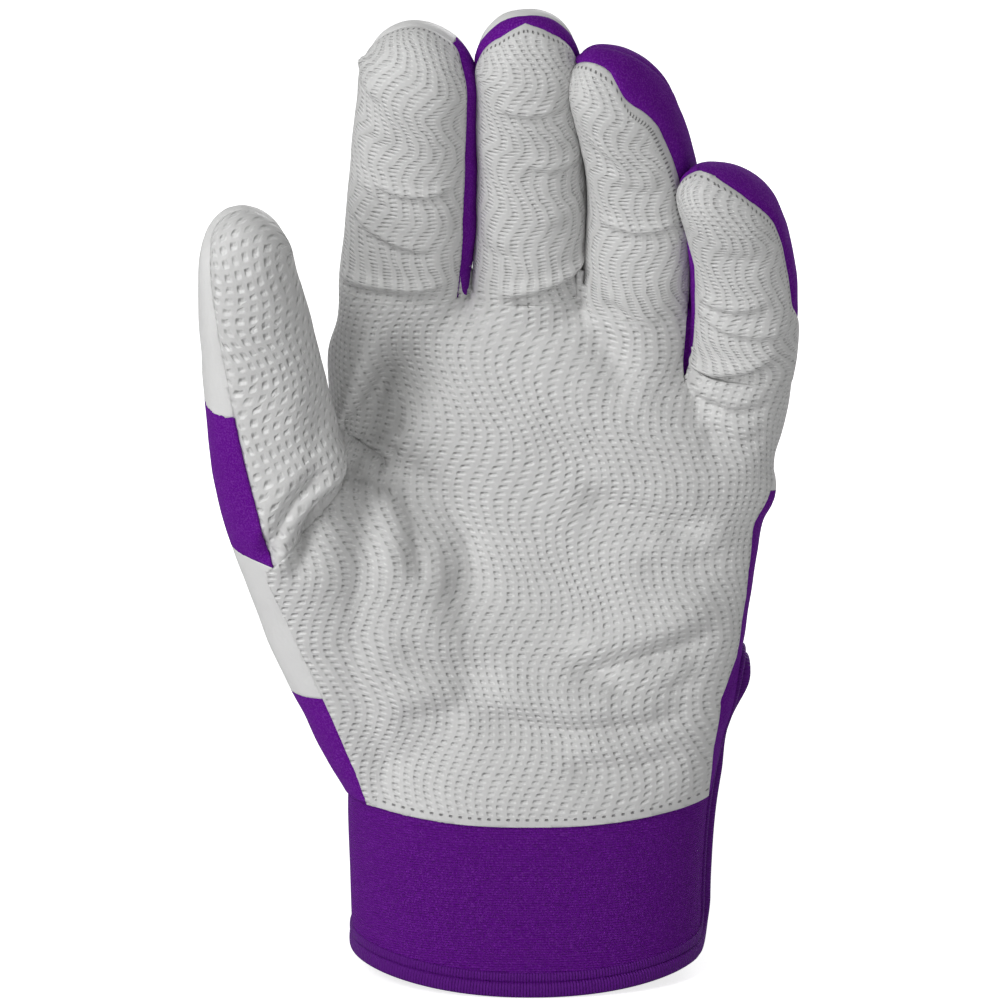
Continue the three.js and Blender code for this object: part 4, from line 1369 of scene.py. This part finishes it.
def cut_flat(length, low, high, corner, spacing=1.5):
    """A flat strip with rounded corners at its far end, cut across so that it can bend."""
    bm = bmesh.new()
    bmesh.ops.create_grid(bm, x_segments=1, y_segments=1, size=0.5)
    bmesh.ops.translate(bm, verts=bm.verts, vec=(0.5, 0.5, 0))
    bmesh.ops.scale(bm, verts=bm.verts, vec=(length, high - low, 1))
    bmesh.ops.translate(bm, verts=bm.verts, vec=(0, low, 0))
    far = [v for v in bm.verts if v.co.x > length / 2]
    bmesh.ops.bevel(bm, geom=far, offset=corner, offset_type="OFFSET", segments=8, profile=0.5,
                    affect="VERTICES", material=-1)
    for step in np.arange(spacing, length, spacing):
        cut_plane(bm, (step, 0, 0), (1, 0, 0))
    return bm


def back_turn(x):
    """The angle round the back of the wrist at the strap's level at which it has this x."""
    left, right = hand_sides(np.array([STRAP_LEVEL]))[:2]
    share = (x - (left + right) / 2) / ((right - left) / 2)
    return np.arccos(np.sign(share) * np.clip(np.abs(share), 0, 1) ** (HAND_SQUARENESS / 2))[0]


strap_root = turn_at(np.array([STRAP_ROOT]), np.array([STRAP_LEVEL]))[0]
rounds = np.linspace(strap_root, back_turn(STRAP_END), STRAP_STEPS)
strap_line = on_hand(rounds, np.full(STRAP_STEPS, STRAP_LEVEL), 2.0)
strap_run = run_along(strap_line)


def wrap(bm, first_run, lift):
    """Wraps a flat strip round the wrist, starting some way along the strap's line."""
    flat = places(bm)
    turn = np.interp(first_run + flat[:, 0], strap_run, rounds)
    away = lift(first_run + flat[:, 0])
    move_to(bm, on_hand(turn, flat[:, 1], away))
    bmesh.ops.recalc_face_normals(bm, faces=bm.faces)
    facing = sum(f.normal.dot(f.calc_center_median()) for f in bm.faces)
    if facing < 0:
        bmesh.ops.reverse_faces(bm, faces=bm.faces)


def run_at(x):
    return float(np.interp(back_turn(x), rounds, strap_run))


strap = cut_flat(strap_run[-1], STRAP_LOW, STRAP_HIGH, STRAP_CORNER)
wrap(strap, 0, lambda run: sum(rise * ease(low, high, run) for rise, low, high in STRAP_RISES) - STRAP_SUNK)
finish(strap, "strap_band", "cuff_neoprene", ["closure_strap"], "strap", wall=STRAP_WALL)
for name, slot, node, body, (first, last), (low, high), corner, wall, lift in PATCHES:
    start = run_at(first)
    patch = cut_flat(run_at(last) - start, low, high, corner)
    wrap(patch, start, lambda run: lift)
    finish(patch, name, slot, [node], body, wall=wall)

# The studio
# A plain white sweep with a large soft light from the left and above, as in a catalogue picture.
EYE_DISTANCE = 0.9
EYE_RISE = math.radians(12)
TARGET = Vector((-0.0063, 0, 0.0964))
lens = bpy.data.cameras.new("camera")
lens.sensor_width = 36
lens.lens = 161.84
lens.clip_end = 20
camera = in_scene("camera", lens)
camera.location = TARGET + EYE_DISTANCE * Vector((0, -math.cos(EYE_RISE), math.sin(EYE_RISE)))
camera.rotation_euler = (math.pi / 2 - EYE_RISE, 0, 0)
bpy.context.scene.camera = camera


def area_light(name, place, aim, size, power):
    lamp = bpy.data.lights.new(name, "AREA")
    lamp.shape = "DISK"
    lamp.size = size
    lamp.energy = power
    light = in_scene(name, lamp)
    light.location = place
    light.rotation_euler = (Vector(aim) - Vector(place)).to_track_quat("-Z", "Y").to_euler()


LIGHT_AIM = (0, 0, 0.1)
area_light("key", (-0.65, -1.0, 0.95), LIGHT_AIM, size=0.5, power=6.6)
area_light("left", (-1.1, -0.8, 0.15), LIGHT_AIM, size=0.6, power=7.0)
area_light("fill", (0.5, -1.1, 0.4), LIGHT_AIM, size=0.8, power=1.4)
area_light("back", (0.5, 1.2, 0.8), LIGHT_AIM, size=0.8, power=5)

# the paper glows to the camera, fully white away from the part, and the world lights less than it shows
WHITE = (1, 1, 1, 1)
GLOW_NEAR = 0.75
GLOW_SPAN = (0.45, 0.1)
WORLD_LIGHT = 0.22
floor_bm = bmesh.new()
bmesh.ops.create_grid(floor_bm, x_segments=1, y_segments=1, size=6)
floor_mesh = mesh_of(floor_bm, "floor")
floor_bm.free()
floor = in_scene("floor", floor_mesh)
tree, inputs = plain_material("paper", (0.9, 0.9, 0.9, 1), roughness=0.9)
floor_mesh.materials.append(looks["paper"])
inputs["Emission Color"].default_value = WHITE
away = add_node(tree, "VectorMath", {0: object_place(tree)}, operation="LENGTH")
far_out = soft_edge(tree, away.outputs["Value"], *GLOW_SPAN)
glow = calc(tree, "MULTIPLY_ADD", far_out, 1 - GLOW_NEAR, GLOW_NEAR)
seen_by = add_node(tree, "LightPath", {}).outputs
tree.links.new(calc(tree, "MULTIPLY", seen_by["Is Camera Ray"], glow), inputs["Emission Strength"])

world = bpy.data.worlds.new("world")
bpy.context.scene.world = world
world.use_nodes = True
sky = world.node_tree
backdrop = sky.nodes["Background"].inputs
seen_by = add_node(sky, "LightPath", {}).outputs
seen = calc(sky, "MAXIMUM", seen_by["Is Camera Ray"], seen_by["Is Glossy Ray"])
sky.links.new(calc(sky, "MULTIPLY_ADD", seen, 1 - WORLD_LIGHT, WORLD_LIGHT), backdrop["Strength"])
backdrop["Color"].default_value = WHITE
bpy.context.scene.view_settings.view_transform = "Standard"
